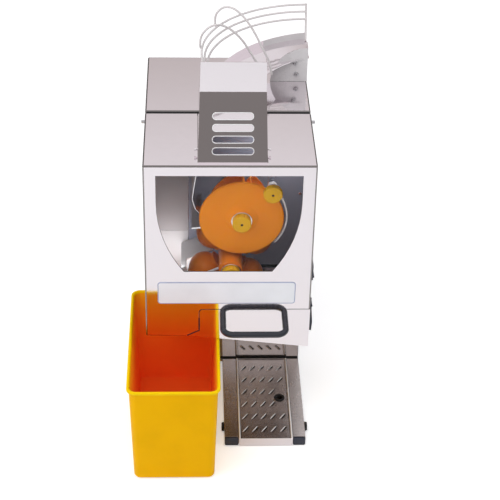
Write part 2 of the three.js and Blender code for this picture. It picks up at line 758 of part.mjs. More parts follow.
// Stainless bar bent round the right side of the disc, with an eye on the guard post
function orangeGuard() {
  const steps = 18;
  const arc = (radius, from, to) => Array.from({ length: steps + 1 }, (_, i) => {
    const place = polar(upperAxis, radius, from + ((to - from) * i) / steps);
    return [place.x, place.z];
  });
  const strip = plateAlongY(polygon(
    ...arc(guard.inner, guard.start, guard.end),
    ...arc(guard.outer, guard.end, guard.start),
  ), guard.front, guard.front + guard.depth);
  const eye = barY(guard.eye, postAxis.x, postAxis.z, guard.front, guard.front + guard.depth, 20);
  const bore = barY(guardPost.radius + seatGap, postAxis.x, postAxis.z,
    guard.front - cutOverrun, guard.front + guard.depth + cutOverrun, 16);
  return cut(join(strip, eye), bore);
}

// Stud on the backplate with a shoulder behind the guard's eye
function guardStud() {
  const shoulder = guard.front + guard.depth + seatGap;
  const knobRear = knobSeat();
  return turned([
    [0, knobRear - half * knob.length],
    [guardPost.radius, knobRear - half * knob.length],
    [guardPost.radius, shoulder],
    [guardPost.shoulder, shoulder],
    [guardPost.shoulder, shoulder + guard.eye],
    [guardPost.root, shoulder + guard.eye],
    [guardPost.root, plateFace - seatGap],
    [0, plateFace - seatGap],
  ], postAxis, 16);
}

function knobSeat() {
  return disc.face - disc.bossHeight - 2 * seatGap - washer.thickness;
}

// Bent guide at the left of the feed channel; its lower end turns in under the waiting orange
function feedGuideStrip() {
  const heights = guideUp_shares.map((share) => upperAxis.z + share * cup.radius);
  const top = housingTop - roof.drop - slideGap;
  const path = [top, ...heights].map((z, i) => [backplate.left + guideAcross_shares[i] * cup.radius, z]);
  const inner = path.map(([x, z]) => [x + feedGuide.thickness, z]).reverse();
  return plateAlongY(polygon(...path, ...inner), feedGuide.front, plateFace - seatGap);
}

// Fixed knife below the feed guide; its edge points at the rims of the cups
function knifeBlade() {
  const tip = polar(upperAxis, knife.tip, knife.angle);
  const rear = tip.x - knife.length;
  return plateAlongY(polygon(
    [tip.x, tip.z],
    [rear, tip.z + half * knife.thickness - knife.drop],
    [rear, tip.z - half * knife.thickness - knife.drop],
    [tip.x - half * knife.length, tip.z - knife.thickness - half * knife.drop],
  ), knife.front, plateFace - seatGap);
}

// Fork that lifts the squeezed peel off the balls: a tine on each side of the ring of balls
function peelStripper() {
  const near = cup.centre - ball.radius - stripper.clear;
  const far = cup.centre + ball.radius + stripper.clear;
  const sweep = ball.reach + ball.radius + stripper.clear;
  const rear = plateFace - seatGap;
  const passage = new THREE.Shape([
    [stripper.inner, near - stripper.tine],
    [stripper.outer, near - stripper.tine],
    [stripper.outer, rear],
    [bearing.flange + stripper.clear, rear],
    [bearing.flange + stripper.clear, far],
    [sweep, far],
    [sweep, near],
    [stripper.inner, near],
  ].map(([along, y]) => new THREE.Vector2(along, y)));
  const out = new THREE.Vector3(Math.cos(stripper.angle * degrees), 0, Math.sin(stripper.angle * degrees));
  const side = new THREE.Vector3().crossVectors(out, toY);
  const origin = new THREE.Vector3(lowerAxis.x, 0, lowerAxis.z);
  origin.addScaledVector(side, -half * stripper.thickness);
  return carried(passage, stripper.thickness, out, toY, side, origin);
}

// Sloping plate that leads the peel from the drums over the tank's edge into the bin
function peelChute() {
  const low = [chute.ridgeX - chute.run, chute.ridgeZ - chute.fall];
  return plateAlongY(polygon(
    [chute.ridgeX, chute.ridgeZ],
    [chute.ridgeX, chute.ridgeZ - chute.thickness],
    [low[0], low[1] - chute.thickness],
    low,
  ), chute.front, plateFace - seatGap);
}

function coverSensor() {
  const left = lowerAxis.x - sensor.leftOfDrum;
  const bottom = lowerAxis.z - sensor.belowDrum;
  const outline = roundedBox(left, left + sensor.width, bottom, bottom + sensor.height, sensor.corner);
  const rear = plateFace - seatGap;
  return plateAlongY(outline, rear - sensor.depth, rear);
}

// Spur gear with straight-sided teeth; phase is the angle of one tooth's middle
function spurGear(axis, teeth, phase, boreRadius) {
  const pitch = half * gearModule * teeth;
  const tip = pitch + gear.addendum_share * gearModule;
  const root = pitch - gear.dedendum_share * gearModule;
  const step = 360 / teeth;
  const outline = [];
  for (let i = 0; i < teeth; i += 1) {
    const middle = phase + i * step;
    for (const [radius, offset] of [
      [root, -half * toothWidth_shares.root],
      [tip, -half * toothWidth_shares.tip],
      [tip, half * toothWidth_shares.tip],
      [root, half * toothWidth_shares.root],
    ]) {
      const place = polar(axis, radius, middle + offset * step);
      outline.push([place.x, place.z]);
    }
  }
  const wheel = plateAlongY(polygon(...outline), gear.front, gear.front + gear.width);
  const rear = gear.front + gear.width;
  return cut(wheel, barY(boreRadius, axis.x, axis.z, gear.front - cutOverrun, rear + cutOverrun, 20));
}

function drivePinion() {
  const lowerPhase = towardLower + turnedAway + half * (360 / drumTeeth);
  const step = 360 / drumTeeth;
  const lag = (((pinionAngle - lowerPhase) % step) + step) % step;
  const phase = pinionAngle + turnedAway + (lag * drumTeeth) / pinionTeeth + half * (360 / pinionTeeth);
  const wheel = spurGear(pinionAxis, pinionTeeth, phase, half * pinionShaft.radius);
  const rear = gearPlate.front + gearPlate.thickness + pinionShaft.grip;
  const front = gear.front - pinionShaft.proud;
  return join(wheel, barY(pinionShaft.radius, pinionAxis.x, pinionAxis.z, front, rear, 20));
}

// Plate on four posts behind the gears; it carries the shaft ends and the gearbox
function gearCarrier() {
  const { left, right, bottom, top } = gearPlateBox;
  const rear = gearPlate.front + gearPlate.thickness;
  const plate = box(left, right, gearPlate.front, rear, bottom, top);
  const middle = gearPlate.front + half * gearPlate.thickness;
  const posts = [left + gearPlate.margin, right - gearPlate.margin].flatMap(
    (x) => [bottom + gearPlate.margin, top - gearPlate.margin].map(
      (z) => barY(gearPlate.post, x, z, cabinetFront + sheet + seatGap, middle, 12),
    ),
  );
  const bores = [upperAxis, lowerAxis].map((axis) => barY(
    shaft.radius + seatGap, axis.x, axis.z, gearPlate.front - cutOverrun, rear + cutOverrun, 20,
  ));
  const pinionHole = barY(
    pinionShaft.hole, pinionAxis.x, pinionAxis.z, gearPlate.front - cutOverrun, rear + cutOverrun,
  );
  return cut(join(plate, ...posts), ...bores, pinionHole);
}

function gearboxHousing() {
  const front = gearPlate.front + gearPlate.thickness + seatGap;
  const outline = roundedBox(
    pinionAxis.x - gearbox.half, pinionAxis.x + gearbox.half,
    pinionAxis.z - gearbox.half, pinionAxis.z + gearbox.half, gearbox.corner,
  );
  const body = plateAlongY(outline, front, front + gearbox.depth);
  const bore = barY(pinionShaft.radius + seatGap, pinionAxis.x, pinionAxis.z,
    front - cutOverrun, front + pinionShaft.grip + half * pinionShaft.grip, 20);
  return cut(body, bore);
}

// Motor with cooling ribs between its flange and the fan cowl
function driveMotor() {
  const front = gearPlate.front + gearPlate.thickness + 2 * seatGap + gearbox.depth;
  const rear = front + motor.depth + motor.cowlDepth;
  const body = barY(
    motor.radius - motor.ribHeight, pinionAxis.x, pinionAxis.z, front, front + motor.depth, 30,
  );
  const ribs = Array.from({ length: motor.ribs }, (_, i) => {
    const rib = new THREE.BoxGeometry(2 * motor.ribHeight, motor.depth, motor.ribWidth);
    rib.translate(motor.radius - motor.ribHeight, 0, 0);
    rib.rotateY((fullTurn * i) / motor.ribs);
    rib.translate(pinionAxis.x, front + half * motor.depth, pinionAxis.z);
    return solid(rib);
  });
  const flange = barY(motor.radius, pinionAxis.x, pinionAxis.z, front, front + 2 * motor.ribWidth, 30);
  const cowl = turned([
    [0, rear - motor.cowlDepth], [motor.cowlRadius, rear - motor.cowlDepth],
    [motor.cowlRadius, rear - motor.ribWidth], [motor.cowlRadius - motor.ribWidth, rear], [0, rear],
  ], pinionAxis, 30);
  return join(body, flange, cowl, ...ribs);
}

// Fixed side walls of the press chamber
function chamberWall(x0, x1, bottom) {
  const front = sheet + 2 * seatGap + pane.thickness;
  return box(x0, x1, front, cabinetFront - seatGap, bottom, wallTop);
}

function chamberRoof() {
  const top = housingTop - roof.drop + sheet;
  const plate = box(
    wallLeft + seatGap, wallRight - seatGap, roof.front, cabinetFront - seatGap, top - sheet, top,
  );
  const hole = box(
    feedHole.left, feedHole.right, feedHole.front, feedHole.rear, top - cutOverrun, top + cutOverrun,
  );
  return cut(plate, hole);
}

// The window's outline: straight upper sides that turn in as arcs to a flat foot
function windowOutline(margin) {
  const { centre, halfWidth, top, straightEnd, halfFoot, bottom } = windowCut;
  const step = halfWidth - halfFoot;
  const drop = straightEnd - bottom;
  const radius = (step * step + drop * drop) / (2 * step);
  const sweep = Math.asin(drop / radius);
  const wide = radius + margin;
  const outline = new THREE.Shape();
  outline.moveTo(centre + halfWidth + margin, top + margin);
  outline.lineTo(centre - halfWidth - margin, top + margin);
  const left = 2 * quarterTurn;
  outline.absarc(centre - halfWidth + radius, straightEnd, wide, left, left + sweep, false);
  if (margin) outline.lineTo(centre - halfFoot - half * margin, bottom - margin);
  if (margin) outline.lineTo(centre + halfFoot + half * margin, bottom - margin);
  outline.absarc(centre + halfWidth - radius, straightEnd, wide, -sweep, 0, false);
  outline.closePath();
  return outline;
}

// Outline of the tank's front, grown by a margin for the cover's cut-out
function tankOutline(margin) {
  const { left, flareLeft, flareTop, top, corner } = tankFront;
  const outline = new THREE.Shape();
  outline.moveTo(flareLeft - margin, tankLine(flareLeft) - margin);
  outline.lineTo(flareLeft - margin, tankLine(flareLeft));
  outline.lineTo(left - margin, flareTop + half * margin);
  outline.absarc(left + corner - margin, top - corner + margin, corner, 2 * quarterTurn, quarterTurn, true);
  outline.lineTo(housingWidth + margin, top + margin);
  outline.lineTo(housingWidth + margin, tankLine(housingWidth) - margin);
  outline.closePath();
  return outline;
}

// Pull-off cover: front panel with the window, top with a notch round the hopper, side returns
function frontCover() {
  const top = housingTop;
  const panel = box(0, housingWidth, 0, sheet, coverBottom, top);
  const roofPart = box(0, housingWidth, 0, coverDepth, top - sheet, top);
  const sides = [[0, sheet], [housingWidth - sheet, housingWidth]].flatMap(([x0, x1]) => [
    box(x0, x1, 0, coverReturn, coverBottom, top),
    box(x0, x1, 0, coverDepth, top - coverFlange, top),
  ]);
  const notch = box(
    hopper.left - slideGap, hopper.right + slideGap, hopper.front - slideGap, coverDepth + cutOverrun,
    top - cutOverrun, top + cutOverrun,
  );
  const opening = plateAlongY(windowOutline(0), -cutOverrun, sheet + cutOverrun);
  const drawer = plateAlongY(tankOutline(partingGap), -cutOverrun, coverDepth);
  const pinSlot = box(
    -cutOverrun, housingWidth + cutOverrun,
    coverPin.y - coverPin.radius - slideGap, coverDepth + cutOverrun,
    top - coverPin.drop - coverPin.radius - slideGap, top - coverPin.drop + coverPin.radius + slideGap,
  );
  return cut(join(panel, roofPart, ...sides), notch, opening, drawer, pinSlot);
}

function windowPane() {
  const front = sheet + seatGap;
  return plateAlongY(windowOutline(pane.margin), front, front + pane.thickness);
}

function hookPin(x0, x1) {
  return barX(coverPin.radius, coverPin.y, housingTop - coverPin.drop, x0, x1, 16);
}

// Front panel of the tank drawer with its stepped left edge and a return on the right
function tankPanel() {
  const panel = plateAlongY(tankOutline(0), 0, sheet);
  const returned = box(
    housingWidth - sheet, housingWidth, 0, coverReturn, tankLine(housingWidth), tankFront.top,
  );
  return join(panel, returned);
}

// Juice tank: open trough with a sloping floor, side lips that ride on the rails, and a spout
function juiceTank() {
  const { left, right, top, rear, wall, lift, lip } = tank;
  const front = sheet + seatGap;
  const under = (x) => tankLine(x) + lift;
  const outer = plateAlongY(polygon(
    [left, top], [left, under(left)], [right, under(right)], [right, top],
  ), front, rear);
  const inner = plateAlongY(polygon(
    [left + wall, top + cutOverrun],
    [left + wall, under(left + wall) + wall],
    [right - wall, under(right - wall) + wall],
    [right - wall, top + cutOverrun],
  ), front + wall, rear - wall);
  const lips = [
    box(left - lip, left + half * wall, front, rear, top - wall, top),
    box(right - half * wall, right + lip, front, rear, top - wall, top),
  ];
  const mouth = under(spout.x);
  const pipe = barZ(spout.radius, spout.x, spout.y, mouth - spout.length, mouth + wall, 20);
  const bore = barZ(spout.radius - spout.wall, spout.x, spout.y,
    mouth - spout.length - cutOverrun, mouth + cutOverrun, 20);
  return cut(join(cut(outer, inner), ...lips, cut(pipe, inner)), bore);
}

function tankRail(x0, x1) {
  const top = tank.top - tank.wall - seatGap;
  return box(x0, x1, rail.front, cabinetFront - seatGap, top - rail.height, top);
}

// Strainer basket that hangs in the tank by its rim
function pulpStrainer() {
  const { rim, depth, wall, gap, rows, columns, slotWidth, slotLength } = strainer;
  const x0 = tank.left + tank.wall + gap;
  const x1 = tank.right - tank.wall - gap;
  const y0 = sheet + seatGap + tank.wall + gap;
  const y1 = tank.rear - tank.wall - gap;
  const seat = tank.top + seatGap;
  const edge = gap + half * tank.wall;
  const flange = box(x0 - edge, x1 + edge, y0 - edge, y1 + edge, seat, seat + rim);
  const basket = box(x0, x1, y0, y1, seat - depth, seat + half * rim);
  const inside = box(
    x0 + wall, x1 - wall, y0 + wall, y1 - wall, seat - depth + wall, seat + rim + cutOverrun,
  );
  const slots = [];
  const columnPitch = (x1 - x0) / columns;
  const rowPitch = (y1 - y0) / rows;
  for (let row = 0; row < rows; row += 1) {
    for (let column = 0; column < columns; column += 1) {
      const x = x0 + (column + half) * columnPitch;
      const y = y0 + (row + half) * rowPitch;
      slots.push(box(
        x - half * slotWidth, x + half * slotWidth, y - half * slotLength, y + half * slotLength,
        seat - depth - cutOverrun, seat - depth + cutOverrun,
      ));
    }
  }
  return cut(join(flange, basket), inside, ...slots);
}

// D handle: a bent rod with its two ends on the tank's front
function tankHandle() {
  const x0 = handle.left + handle.radius;
  const x1 = handle.left + handle.width - handle.radius;
  const bar = -handle.projection;
  const z = handle.height;
  const bendRadius = handle.corner;
  const at = (x, y) => new THREE.Vector3(x, y, z);
  const path = new THREE.CurvePath();
  path.add(new THREE.LineCurve3(at(x0, -seatGap), at(x0, bar + bendRadius)));
  path.add(new THREE.QuadraticBezierCurve3(at(x0, bar + bendRadius), at(x0, bar), at(x0 + bendRadius, bar)));
  path.add(new THREE.LineCurve3(at(x0 + bendRadius, bar), at(x1 - bendRadius, bar)));
  path.add(new THREE.QuadraticBezierCurve3(at(x1 - bendRadius, bar), at(x1, bar), at(x1, bar + bendRadius)));
  path.add(new THREE.LineCurve3(at(x1, bar + bendRadius), at(x1, -seatGap)));
  return rod(path, handle.radius, 18, 10);
}

// Frame of the mains switch on the right chamber wall
function switchBezel() {
  const x0 = sideFace + seatGap;
  const outline = roundedBox(bezel.y, bezel.y + bezel.width, bezel.z, bezel.z + bezel.height, bezel.lip);
  const body = plateAlongX(outline, x0, x0 + bezel.proud);
  const well = box(
    x0 + bezel.back, x0 + bezel.proud + cutOverrun,
    bezel.y + bezel.lip, bezel.y + bezel.width - bezel.lip,
    bezel.z + bezel.lip, bezel.z + bezel.height - bezel.lip,
  );
  return cut(body, well);
}

// Rocker with a dished face, drawn level and tipped to its off position
function powerRocker() {
  const x = sideFace + seatGap + rocker.pivotProud;
  const z = bezel.z + half * bezel.height;
  const reach = half * bezel.height - bezel.lip - rocker.clearance;
  const back = half * rocker.thickness;
  const outline = [
    [-back, 0], [rocker.dish - back + rocker.clearance, -reach], [back + rocker.dish, -reach],
    [back, 0], [back + rocker.dish, reach], [rocker.dish - back + rocker.clearance, reach],
  ];
  const cosTilt = Math.cos(rocker.tilt * degrees);
  const sinTilt = Math.sin(rocker.tilt * degrees);
  return plateAlongY(
    polygon(...outline.map(([dx, dz]) => [x + dx * cosTilt + dz * sinTilt, z - dx * sinTilt + dz * cosTilt])),
    bezel.y + bezel.lip + rocker.clearance,
    bezel.y + bezel.width - bezel.lip - rocker.clearance,
  );
}

const latchPivot = {
  x: sideFace + seatGap + latchLever.pivotProud,
  z: latch.z + latch.height - latchLever.pivotDrop,
};

// Latch plate with two ears for the lever's pin
function latchPlate() {
  const x0 = sideFace + seatGap;
  const y1 = latch.y + latch.width;
  const plate = box(x0, x0 + latch.base, latch.y, y1, latch.z, latch.z + latch.height);
  const ear = (from, to) => join(
    box(
      x0, latchPivot.x, from, to,
      latchPivot.z - latchLever.pivotDrop + latch.earInset, latch.z + latch.height - latch.earInset,
    ),
    barY(latchLever.pivotDrop - latch.earInset, latchPivot.x, latchPivot.z, from, to, 16),
  );
  const bore = barY(
    latch.pinRadius + seatGap, latchPivot.x, latchPivot.z, latch.y - cutOverrun, y1 + cutOverrun, 12,
  );
  return cut(join(plate, ear(latch.y, latch.y + latch.ear), ear(y1 - latch.ear, y1)), bore);
}

// Latch lever: hinged at its top, widest above the finger lip
function latchArm() {
  const x0 = sideFace + 2 * seatGap + latch.base;
  const inner0 = latch.y + latch.ear + seatGap;
  const inner1 = latch.y + latch.width - latch.ear - seatGap;
  const proud = sideFace + latchLever.thickest;
  const low = latch.z + latchLever.lipZ;
  const { x, z } = latchPivot;
  const blade = plateAlongY(polygon(
    [x0, z],
    [x + half * latch.barrel, z],
    [proud, latch.z + leverHeight_shares.widest * latch.height],
    [proud - half * latch.barrel, low],
    [x0 + half * latch.barrel, low],
    [x0, latch.z + leverHeight_shares.heel * latch.height],
  ), inner0, inner1);
  const barrel = barY(latch.barrel, x + half * seatGap, z, inner0, inner1, 16);
  const pin = barY(latch.pinRadius, x, z, latch.y - seatGap, latch.y + latch.width + seatGap, 12);
  return join(blade, barrel, pin);
}

// Thumb screw through a side of the hopper, with its head outside
function thumbScrewAt(face, outward) {
  const tip = face + outward * thumbScrew.length;
  const neck = face + half * outward * thumbScrew.length;
  const root = face - outward * sheet;
  const { y, z } = thumbScrew;
  const bar = (radius, a, b, sides) => barX(radius, y, z, Math.min(a, b), Math.max(a, b), sides);
  return join(bar(thumbScrew.stem, root, tip, 8), bar(thumbScrew.radius, neck, tip, 12));
}

// Hopper of folded sheet: leaning front plate with slots, sides, sloping rear floor and a foot
function hopperBox() {
  const { left, right, front, foldY, foldZ, top, rear } = hopper;
  const { topDepth, shoulderY, shoulderZ, rearTop, rearWall, floorFront } = hopperSide;
  const foot = housingTop - roof.drop + sheet + seatGap;
  const face = plateAlongX(polygon(
    [front, foot], [foldY, foldZ], [foldY, top], [foldY + sheet, top],
    [foldY + sheet, foldZ - half * sheet], [front + sheet, foot],
  ), left, right);
  const cheek = (x0, x1) => plateAlongX(polygon(
    [front, foot], [foldY, foldZ], [foldY, top], [foldY + topDepth, top],
    [shoulderY, shoulderZ], [rear, rearTop], [rear, foot],
  ), x0, x1);
  const backWall = box(left, right, rear - sheet, rear, foot, rearWall);
  const slide = plateAlongX(polygon(
    [rear, rearWall], [rear, rearWall - 2 * sheet], [floorFront + sheet, foot],
    [floorFront - 2 * sheet, foot], [floorFront - 2 * sheet, foot + sheet],
  ), left, right);
  const sole = cut(
    box(left, right, front, rear, foot, foot + sheet),
    box(feedHole.left, feedHole.right, feedHole.front, feedHole.rear, foot - cutOverrun, foot + cutOverrun),
    box(feedHole.left, feedHole.right, floorFront + 2 * cutOverrun, rear - 2 * cutOverrun,
      foot - cutOverrun, foot + half * cutOverrun),
  );
  const whole = join(face, cheek(left, left + sheet), cheek(right - sheet, right), backWall, slide, sole);
  const lean = Math.atan2(foldY - front, foldZ - foot);
  const middle = half * (left + right);
  const slots = Array.from({ length: hopperSlot.count }, (_, i) => {
    const radius = half * hopperSlot.height;
    const low = hopperSlot.first + i * hopperSlot.pitch;
    const outline = roundedBox(
      middle - hopperSlot.halfWidth, middle + hopperSlot.halfWidth, low, low + hopperSlot.height, radius,
    );
    const up = new THREE.Vector3(0, Math.sin(lean), Math.cos(lean));
    const out = new THREE.Vector3(0, -Math.cos(lean), Math.sin(lean));
    const origin = new THREE.Vector3(0, front, foot).addScaledVector(out, -cutOverrun);
    return carried(outline, 2 * cutOverrun, toX, up, out, origin);
  });
  return join(cut(whole, ...slots), thumbScrewAt(left, -1), thumbScrewAt(right, 1));
}

// The hopper narrows evenly towards its top
function taperHopper(positions) {
  const middle = half * (hopper.left + hopper.right);
  for (let i = 0; i < positions.count; i += 1) {
    const rise = (positions.getZ(i) - housingTop) / (hopper.top - housingTop);
    const keep = 1 - hopperTaper_share * Math.max(rise, 0);
    positions.setX(i, middle + (positions.getX(i) - middle) * keep);
  }
}

function onBend(radius, angle, z) {
  return new THREE.Vector3(
    bend.x + radius * Math.cos(angle * degrees), bend.y + radius * Math.sin(angle * degrees), z,
  );
}

function rampHeight(angle) {
  const part = (angle - ramp.start) / (ramp.end - ramp.start);
  return ramp.high + (ramp.low - ramp.high) * part;
}

// Quarter-turn ramp: falling floor with an outer lip, a round-backed fin in front, and a leg
function feedRamp() {
  const rings = Array.from({ length: ramp.steps + 1 }, (_, i) => {
    const angle = ramp.start + ((ramp.end - ramp.start) * i) / ramp.steps;
    const z = rampHeight(angle);
    return [
      onBend(ramp.inner, angle, z - sheet),
      onBend(ramp.outer, angle, z - sheet),
      onBend(ramp.outer, angle, z + ramp.lip),
      onBend(ramp.outer - sheet, angle, z + ramp.lip),
      onBend(ramp.outer - sheet, angle, z),
      onBend(ramp.inner, angle, z),
    ];
  });
  const across = (p) => new THREE.Vector2(Math.hypot(p.x - bend.x, p.y - bend.y), p.z);
  const floor = loft(rings, across);
  const deck = housingTop + seatGap;
  const outline = new THREE.Shape();
  outline.moveTo(fin.right, deck);
  outline.lineTo(fin.right, deck + fin.radius);
  outline.absarc(fin.right, deck, fin.radius, quarterTurn, 2 * quarterTurn, false);
  outline.closePath();
  const plate = plateAlongY(outline, fin.y, fin.y + sheet);
  const flange = box(fin.right - sheet, fin.right, fin.y, fin.y + fin.flange, deck, deck + fin.radius);
  const sole = box(fin.right - fin.radius, fin.right, fin.y, fin.y + fin.footDepth, deck, deck + sheet);
  const leg = box(
    rampLeg.x, rampLeg.x + rampLeg.width, rampLeg.y, rampLeg.y + sheet, deck, ramp.low - half * sheet,
  );
  const legSole = box(
    rampLeg.x, rampLeg.x + rampLeg.width, rampLeg.y, rampLeg.y + fin.footDepth, deck, deck + sheet,
  );
  return join(floor, plate, flange, sole, leg, legSole);
}

// Fence of three bent wires with two hoops over the ramp and a post at the right end
function wireGuard() {
  const start = ramp.start;
  const rods = [topWire, middleWire, lowWire].map(({ radius, z }) => {
    const points = Array.from({ length: fenceEnd.steps + 1 }, (_, i) => onBend(
      radius, start + (2 * quarterTurn / degrees - start) * (i / fenceEnd.steps), z,
    ));
    const tail = new THREE.Vector3(fenceEnd.x, fenceEnd.y, z - fenceEnd.fall);
    return rod(new THREE.CatmullRomCurve3([...points, tail], false, 'centripetal'), wire.radius, 14);
  });
  const postFoot = onBend(ramp.outer - 6 * wire.radius, start, rampHeight(start) + 3 * seatGap);
  const postTop = onBend(topWire.radius, start, topWire.z + wire.radius);
  const inward = new THREE.Vector3(-wire.radius, 0, 0);
  const post = rod(new THREE.CatmullRomCurve3([
    postFoot.add(inward),
    onBend(lowWire.radius, start, lowWire.z).add(inward),
    onBend(middleWire.radius, start, middleWire.z).add(inward),
    postTop.add(inward),
  ]), wire.radius, 6);
  const low = lowWire.z - fenceEnd.fall;
  const high = topWire.z - fenceEnd.fall;
  const tie = rod(new THREE.LineCurve3(
    new THREE.Vector3(fenceEnd.x, fenceEnd.y + wire.radius, low - 3 * fenceEnd.fall),
    new THREE.Vector3(fenceEnd.x, fenceEnd.y + wire.radius, high + wire.radius),
  ), wire.radius, 2);
  return join(...rods, post, tie, ...hoops());
}

// Each hoop rises steeply from the top fence wire, arches over and ends beside the inner edge
function hoops() {
  const arch_shares = [
    [-0.03, 0.2], [0.0, 0.62], [0.13, 0.93], [0.3, 0.93], [0.48, 0.62], [0.65, 0.1],
    [0.82, -0.7], [0.94, -1.3], [0.98, -1.7],
  ];
  const feet = [{ from: 176, to: 150 }, { from: 149.5, to: 135 }];
  return feet.map(({ from, to }) => {
    const first = onBend(topWire.radius, from, topWire.z);
    const last = onBend(hoop.footRadius, to, rampHeight(to) - hoop.footDrop);
    const fall = (first.z - last.z) / hoop.rise;
    const between = arch_shares.map(([along, up]) => {
      const point = first.clone().lerp(last, along);
      point.z = first.z + (up < 0 ? (up * fall) / 2 : up) * hoop.rise;
      return point;
    });
    const curve = new THREE.CatmullRomCurve3([first, ...between, last], false, 'centripetal');
    return rod(curve, wire.radius, 15);
  });
}

const upperKnobRear = knobSeat();
const lowerWasherRear = ball.front - seatGap;
const lowerKnobRear = lowerWasherRear - washer.thickness - seatGap;
const threadReach = half * knob.length;
const threadBore = shaft.threadRadius + seatGap;

add('cabinet_shell', cabinetShell(), finishes.polishedSteel);
add('back_panel', backPanel(), finishes.brushedSteel);
add('cable_gland', cableGland(), finishes.blackPlastic);
add('base_frame', baseFrame(), finishes.brushedSteel);
add('front_foot_left', frontFoot(tongue.left, tongue.left + tongue.railWidth), finishes.blackPlastic);
add('front_foot_right', frontFoot(trayRight + slideGap, tongue.right), finishes.blackPlastic);
add('rear_foot_left', rubberFoot(foot.inset, cabinetRear - foot.setback), finishes.blackRubber);
add('rear_foot_right', rubberFoot(housingWidth - foot.inset, cabinetRear - foot.setback),
  finishes.blackRubber);
add('middle_foot_left', rubberFoot(foot.inset, cabinetFront + foot.setback), finishes.blackRubber);
add('bumper_left', sideBumper(tongue.left - seatGap - bumper.thickness, tongue.left - seatGap),
  finishes.blackRubber);
add('bumper_right', sideBumper(tongue.right + seatGap, tongue.right + seatGap + bumper.thickness),
  finishes.blackRubber);
add('drip_tray', dripTray(), finishes.brushedSteel);
add('drip_grid', dripGrid(), finishes.brushedSteel);
add('peel_bin', peelBin(), finishes.binPlastic);
add('press_backplate', pressBackplate(), finishes.greyPlate);
add('upper_bearing', bearingHousing(upperAxis), finishes.castAluminium);
add('lower_bearing', bearingHousing(lowerAxis), finishes.castAluminium);
add('upper_shaft', drumShaft(upperAxis, drumCore.front, upperKnobRear - threadReach),
  finishes.gearSteel);
add('lower_shaft', drumShaft(lowerAxis, ball.front + seatGap, lowerKnobRear - threadReach),
  finishes.gearSteel);
add('cup_drum', cupDrum(), finishes.brownPlastic);
add('drum_disc', drumDisc(), finishes.orangePlastic);
add('upper_washer', flatWasher(upperAxis, disc.face - disc.bossHeight - seatGap), finishes.chrome);
add('upper_knob', handKnob(upperAxis, upperKnobRear, threadBore, threadReach + seatGap),
  finishes.goldPlastic);
add('ball_drum', ballDrum(), finishes.brownPlastic);
add('lower_washer', flatWasher(lowerAxis, lowerWasherRear), finishes.chrome);
add('lower_knob', handKnob(lowerAxis, lowerKnobRear, threadBore, threadReach + seatGap),
  finishes.goldPlastic);
add('orange_guard', orangeGuard(), finishes.chrome);
add('guard_post', guardStud(), finishes.gearSteel);
add('guard_knob', handKnob(postAxis, upperKnobRear, guardPost.radius + seatGap, threadReach + seatGap),
  finishes.goldPlastic);
add('feed_guide', feedGuideStrip(), finishes.brushedSteel);
add('knife', knifeBlade(), finishes.chrome);
add('peel_stripper', peelStripper(), finishes.palePlastic);
add('peel_chute', peelChute(), finishes.brushedSteel);
add('cover_sensor', coverSensor(), finishes.palePlastic);
add('upper_gear', spurGear(upperAxis, drumTeeth, towardLower, shaft.radius + seatGap),
  finishes.gearSteel);
add('lower_gear', spurGear(
  lowerAxis, drumTeeth, towardLower + turnedAway + half * (360 / drumTeeth), shaft.radius + seatGap,
), finishes.gearSteel);
add('drive_pinion', drivePinion(), finishes.gearSteel);
add('gear_plate', gearCarrier(), finishes.castAluminium);
add('gearbox', gearboxHousing(), finishes.castAluminium);
add('drive_motor', driveMotor(), finishes.motorPaint);
add('chamber_wall_left', chamberWall(wallInset, wallLeft, coverBottom + wallBottomGap.left),
  finishes.brushedSteel);
add('chamber_wall_right', chamberWall(wallRight, sideFace, tankLine(housingWidth) + wallBottomGap.right),
  finishes.brushedSteel);
add('chamber_roof', chamberRoof(), finishes.brushedSteel);
add('front_cover', frontCover(), finishes.polishedSteel);
add('window_pane', windowPane(), finishes.clearPlastic);
add('cover_pin_left', hookPin(wallInset - seatGap - coverPin.length, wallInset - seatGap),
  finishes.gearSteel);
add('cover_pin_right', hookPin(sideFace + seatGap, sideFace + seatGap + coverPin.length),
  finishes.gearSteel);
add('tank_front', tankPanel(), finishes.polishedSteel);
add('juice_tank', juiceTank(), finishes.brushedSteel);
add('tank_rail_left', tankRail(tank.left - tank.lip - seatGap, tank.left - seatGap),
  finishes.brushedSteel);
add('tank_rail_right', tankRail(tank.right + seatGap, wallRight - seatGap), finishes.brushedSteel);
add('pulp_strainer', pulpStrainer(), finishes.brushedSteel);
add('tank_handle', tankHandle(), finishes.blackPlastic);
add('switch_bezel', switchBezel(), finishes.blackPlastic);
add('power_rocker', powerRocker(), finishes.blackPlastic);
add('latch_base', latchPlate(), finishes.blackPlastic);
add('latch_lever', latchArm(), finishes.blackPlastic);
add('hopper', hopperBox(), finishes.polishedSteel, taperHopper);
add('feed_ramp', feedRamp(), finishes.polishedSteel);
add('wire_guard', wireGuard(), finishes.chrome);

// The origin is the middle of the whole part's footprint, on the table
const whole = new THREE.Box3().setFromObject(group);
const centre = whole.getCenter(new THREE.Vector3());
group.position.set(-centre.x, -centre.y, -whole.min.z);

export default group;
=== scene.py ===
import math

import bmesh
import bpy
import numpy as np
from mathutils import Matrix, Vector


